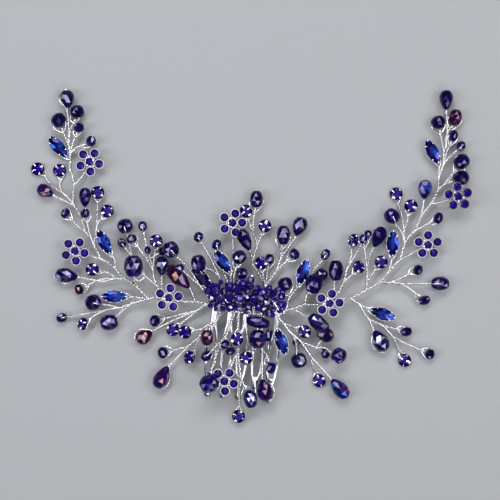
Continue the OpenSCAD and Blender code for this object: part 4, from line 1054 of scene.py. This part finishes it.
def stoneGlow(shape, tint, table=stonePlay["table"], crown=stonePlay["crown"]):
    # painted sparkle on the flat table, painted shade on the facets round it, or the tint's painted lit side
    made = glassOf(shape, tint, stonePlay["sided"] if tint in paintedLitColours else crown)
    axis = unit(shape["points"][-1] - shape["points"][-2])
    flat = np.abs(facetNormals(shape) @ axis) > stoneCut["flat"]
    paintedSparkle = np.array(glassKinds[tint]["tint"]) * dice.uniform(*table, (flat.sum(), 1))
    if tint not in paintedLitColours:
        made["tint"][flat, :3] = np.clip(paintedSparkle, 0, 1)
    return {**made, "finish": 1}


# a prong's path: how far out of the wall its three lower points are, as shares of its thickness; where it
# turns in, as a share of its way in; where the wall ends; where it bends, as a share of its rise; and how
# much thinner its end is
prongPath = {"out": (0.55, 0.55, 0.35), "inward": 0.35, "wallTop": -0.1, "bend": 0.62, "thinner": 0.35}


def prong(reach, foot, rise, wide, thick, inward, sink=0.86):
    # flattened wire that climbs the wall and bends in over the stone: its radius falls with the sixth power
    # of the way along it
    out = [reach + thick * share for share in prongPath["out"]]
    stops = [(out[0], 0, -foot), (out[1], 0, prongPath["wallTop"]), (out[2], 0, rise * prongPath["bend"]),
             (reach - inward * prongPath["inward"], 0, rise), (reach - inward, 0, rise * sink)]
    path = spline(stops, steps=4)
    radius = thick / 2 * (1 - prongPath["thinner"] * np.linspace(0, 1, len(path)) ** 6)
    return tube(path, radius, sides=8, upward=(0, 1, 0), flat=wide / thick)


# four prongs, of which one is bolder; the rest are narrower, and each turns, bends and takes painted shade by
# chance
clawProng = {"turns": (45, 135, 225, 315), "boldest": 1.35, "wide": (0.5, 0.85), "thick": 0.45, "rise": 0.9,
             "foot": 0.7, "inward": (0.95, 1.75), "sink": (0.45, 0.95), "shades": (0.0, 0.5, 1.0),
             "turned": (-8, 8)}
# a cup: how thick its floor is, and where its rim begins and ends under the girdle
cupShape = {"floor": 0.4, "rim": 0.42, "rimTop": 0.3}


def clawSetting():
    # cup with a rolled rim, four prongs and a stone, about the girdle's middle
    inner, depth = clawSize["stone"] / 2 + wireSize["fit"], clawSize["depth"]
    outer, stoneWide = inner + clawSize["wall"], clawSize["stone"] / 2 + clawSize["over"]
    floor, rim, rimTop = -depth + cupShape["floor"], -cupShape["rim"], -cupShape["rimTop"]
    profile = [(0, -depth), (outer - 0.35, -depth), (outer - 0.1, -depth + 0.15), (outer, -depth * 0.5),
               (outer, rim), (outer - 0.08, rimTop), (stoneWide - 0.06, rimTop), (stoneWide - 0.12, rim),
               (inner - 0.3, floor), (0, floor)]
    parts = [lathe(profile, sides=24)]
    boldest = dice.choice(clawProng["turns"])
    for turn in clawProng["turns"]:
        wide = clawProng["boldest"] if turn == boldest else dice.uniform(*clawProng["wide"])
        claw = prong(inner, depth * clawProng["foot"], clawProng["rise"], wide, clawProng["thick"],
                     dice.uniform(*clawProng["inward"]), dice.uniform(*clawProng["sink"]))
        # painted shade on some prongs, by chance
        claw["shade"] = dice.choice(clawProng["shades"])
        parts.append(placed(claw, flatTurn(turn + dice.uniform(*clawProng["turned"])), (0, 0, 0)))
    return parts, roundStone(stoneWide, depth / 2, sides=10, rise=stoneWide * clawSize["crown"])


def buildSet(name, shapes):
    # one node's settings and stones, in one mesh
    buildMesh(name + "_set", shapes, [silver, stoneGlass], [name])


for index, claw in enumerate(claws):
    clawParts, clawStone = clawSetting()
    columns = leanColumns(claw["lean"], claw["way"])
    spun = flatTurn(dice.uniform(-1, 1) * clawSize["turned"]) @ np.array(columns)
    shapes = [placed(part, spun, claw["place"]) for part in clawParts]
    shapes.append(stoneGlow(placed(clawStone, columns, claw["place"]), "stone"))
    buildSet("claw_stone_%02d" % (index + 1), shapes)


# claws, and curls at the tips: how deep their feet are, as a share of the cup, rise, width, thickness and
# how far they reach in; where the claws stand, as shares of the half length and half width
navetteProng = {"foot": 0.7, "rise": 0.72, "wide": 0.6, "thick": 0.36, "inward": 0.5, "stand": (0.62, 0.81)}
navetteTip = {"foot": 0.6, "rise": 0.6, "wide": 0.45, "thick": 0.34, "inward": 0.8, "sink": 0.5, "off": 0.2}


def navetteSetting():
    # pointed cup, four claws and a tip curl at each end, and a stone cut to a keel
    halfLong, halfWide = navetteSize["length"] / 2, navetteSize["width"] / 2
    depth, fit, wall, over = clawSize["depth"], wireSize["fit"], clawSize["wall"], clawSize["over"]
    rise, floor, rim = halfWide * navetteSize["crown"], -depth + cupShape["floor"], -cupShape["rim"]
    cup = lensStack([(-depth, 1, fit + wall * 0.6), (-depth + 0.2, 1, fit + wall * 1.3),
                     (-0.55, 1, fit + wall * 1.1), (rim, 1, over + 0.1), (rim, 1, over - 0.08),
                     (floor, 0.8, fit)], halfLong, halfWide, sides=24, low=-depth, high=floor)
    stone = lensStack([(-depth * 0.5, 0.3, 0), (-depth * 0.3, 0.66, 0), (0, 1, over),
                       (rise * 0.62, 0.82, over), (rise, 0.46, 0.1)], halfLong, halfWide, sides=12,
                      low=-depth * 0.6, high=rise, step=0.5)
    claw = prong(halfWide * navetteProng["stand"][1], depth * navetteProng["foot"], navetteProng["rise"],
                 navetteProng["wide"], navetteProng["thick"], navetteProng["inward"])
    tip = prong(halfLong + navetteTip["off"], depth * navetteTip["foot"], navetteTip["rise"],
                navetteTip["wide"], navetteTip["thick"], navetteTip["inward"], navetteTip["sink"])
    parts = [cup]
    for end, tipTurn in ((-1, 180), (1, 0)):
        for turn in (90, 270):
            parts.append(placed(claw, flatTurn(turn), (end * halfLong * navetteProng["stand"][0], 0, 0)))
        parts.append(placed(tip, flatTurn(tipTurn), (0, 0, 0)))
    return parts, stone


navetteParts, navetteStone = navetteSetting()
for index, navette in enumerate(navettes):
    columns = flatTurn(navette["turn"])
    shapes = [placed(part, columns, navette["place"]) for part in navetteParts]
    shapes.append(stoneGlow(placed(navetteStone, columns, navette["place"]), navette["tint"]))
    buildSet("navette_%02d" % (index + 1), shapes)


def flowerCup():
    # low cup with a thin rim, and a round stone
    outer, height = flowerSize["cup"] / 2, flowerSize["height"]
    wide = flowerSize["stone"] / 2 + flowerSize["over"]
    inner = wide + 0.02
    profile = [(0, 0), (outer - 0.25, 0), (outer - 0.02, 0.2), (outer - 0.02, height - 0.12),
               (outer - 0.1, height + 0.02), (inner + 0.02, height + 0.02), (inner - 0.06, height - 0.06),
               (inner - 0.05, height - 0.12), (inner, height - 0.2), (inner, 0.4), (0, 0.4)]
    stone = roundStone(wide, flowerSize["deep"], sides=8, rise=wide * flowerSize["crown"])
    raised = stone["points"] + [0, 0, height - flowerSize["sunk"]]
    return lathe(profile, sides=20), {**stone, "points": raised}


cup, petalStone = flowerCup()
# solder between two outer cups, from near the middle outwards
bridgeStops = [(0.9, 0, 1.2), (1.6, 0, 1.75), (2.3, 0, 1.75), (3.0, 0, 1.2)]
bridge = tube(spline(bridgeStops, steps=3), flowerSize["bridge"])
for index, flower in enumerate(flowers):
    columns = flatTurn(flower["turn"])
    shapes = []
    for petal in range(flowerSize["petals"] + 1):
        turn = petal * 360 / flowerSize["petals"]
        away = wayOf(turn) * flowerSize["ring"] * (petal < flowerSize["petals"])
        spot = flower["place"] + away @ np.array(columns)
        shapes.append(placed(cup, columns, spot))
        if petal < flowerSize["petals"]:
            between = turn + 180 / flowerSize["petals"]
            shapes.append(placed(bridge, flatTurn(flower["turn"] + between), flower["place"]))
        stone = placed(petalStone, columns, spot)
        shapes.append(stoneGlow(stone, "stone", flowerPlay["table"], flowerPlay["crown"]))
    buildSet("flower_%d" % (index + 1), shapes)
print("stones set")


# comb, floor, light and camera

# the comb's own metal, with its edges rounded: doubles closer than merge and facets that turn less than
# level are joined first
combEdge = {"round": 0.26, "segments": 3, "sharperThan": 40, "merge": 0.002, "level": 1}
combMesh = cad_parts["comb"].data.copy()
merged = bmesh.new()
merged.from_mesh(combMesh)
bmesh.ops.remove_doubles(merged, verts=merged.verts, dist=combEdge["merge"] * millimetre)
bmesh.ops.dissolve_limit(merged, angle_limit=math.radians(combEdge["level"]), verts=merged.verts,
                         edges=merged.edges)
merged.to_mesh(combMesh)
merged.free()
combMesh.materials.clear()
combMesh.materials.append(combSilver)
combPiece = bpy.data.objects.new("comb_polished", combMesh)
bpy.context.scene.collection.objects.link(combPiece)
rounding = combPiece.modifiers.new("rounding", "BEVEL")
rounding.width = combEdge["round"] * millimetre
rounding.segments = combEdge["segments"]
rounding.limit_method = "ANGLE"
rounding.harden_normals = True
rounding.angle_limit = math.radians(combEdge["sharperThan"])
combMesh.polygons.foreach_set("use_smooth", np.ones(len(combMesh.polygons), bool))
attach(combPiece, "root")
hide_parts("comb")

studio = {"floorSize": 3.0, "floorColour": (0.33, 0.345, 0.34, 1), "floorRough": 0.9,
          "sky": (0.6, 0.62, 0.68, 1), "skyPower": 0.15, "tones": "Standard"}
# place, size, power and colour of each soft light, in metres and watts, all turned to the middle
softLights = {
    "back": {"place": (0.1, 0.66, 0.72), "size": (0.5, 0.3), "power": 3.4, "colour": (0.96, 0.95, 1)},
    "windowTop": {"size": (0.28, 0.2), "power": 1.9, "colour": (0.93, 0.9, 1)},
    "windowRight": {"size": (0.16, 0.3), "power": 1.4, "colour": (0.97, 0.94, 1)},
    "windowLeft": {"size": (0.14, 0.2), "power": 0.9, "colour": (0.93, 0.92, 1)},
    "windowLow": {"size": (0.14, 0.14), "power": 0.6, "colour": (0.95, 0.92, 1)},
    "left": {"place": (-0.75, -0.1, 0.55), "size": (0.2, 0.4), "power": 2, "colour": (0.95, 0.95, 1)},
    "frontRight": {"place": (0.5, -0.5, 0.6), "size": (0.4, 0.16), "power": 0.8, "colour": (0.95, 0.96, 1)},
    "front": {"place": (0, -0.42, 0.62), "size": (0.4, 0.24), "power": 0.36, "colour": (0.97, 0.96, 1)},
    "overhead": {"place": (0, -0.04, 1.0), "size": (0.48, 0.42), "power": 0.64, "colour": (0.98, 0.97, 1)},
}

floorMesh = bpy.data.meshes.new("floor")
half = studio["floorSize"] / 2
corners = [(-half, -half, 0), (half, -half, 0), (half, half, 0), (-half, half, 0)]
floorMesh.from_pydata(corners, [], [(0, 1, 2, 3)])
floor = bpy.data.objects.new("floor", floorMesh)
bpy.context.scene.collection.objects.link(floor)
paper = newMaterial("floorPaper", {"Base Color": studio["floorColour"], "Roughness": studio["floorRough"]})
floorMesh.materials.append(paper)

world = bpy.data.worlds.new("studio")
bpy.context.scene.world = world
world.use_nodes = True
world.node_tree.nodes["Background"].inputs["Color"].default_value = studio["sky"]
world.node_tree.nodes["Background"].inputs["Strength"].default_value = studio["skyPower"]
bpy.context.scene.view_settings.view_transform = studio["tones"]

for name, light in softLights.items():
    lamp = bpy.data.lights.new(name, "AREA")
    lamp.shape, lamp.size, lamp.size_y = "RECTANGLE", *light["size"]
    lamp.energy, lamp.color = light["power"], light["colour"]
    lampObject = bpy.data.objects.new(name, lamp)
    lampObject.location = light.get("place", windowPlaces.get(name))
    aim = -np.array(lampObject.location)
    lampObject.rotation_euler = (math.acos(-aim[2] / np.linalg.norm(aim)), 0, math.atan2(-aim[0], aim[1]))
    bpy.context.scene.collection.objects.link(lampObject)

# straight down, so high that the frame is this wide at the beads
view = {"lens": 85.0, "sensor": 36.0, "frameWidth": 0.2, "centre": (0.0, 0.0028), "subjectHeight": 0.004}
camera = bpy.data.cameras.new("plan")
camera.lens, camera.sensor_width = view["lens"], view["sensor"]
cameraObject = bpy.data.objects.new("plan", camera)
away = view["lens"] / view["sensor"] * view["frameWidth"]
cameraObject.location = (*view["centre"], view["subjectHeight"] + away)
bpy.context.scene.collection.objects.link(cameraObject)
bpy.context.scene.camera = cameraObject
print("studio ready")
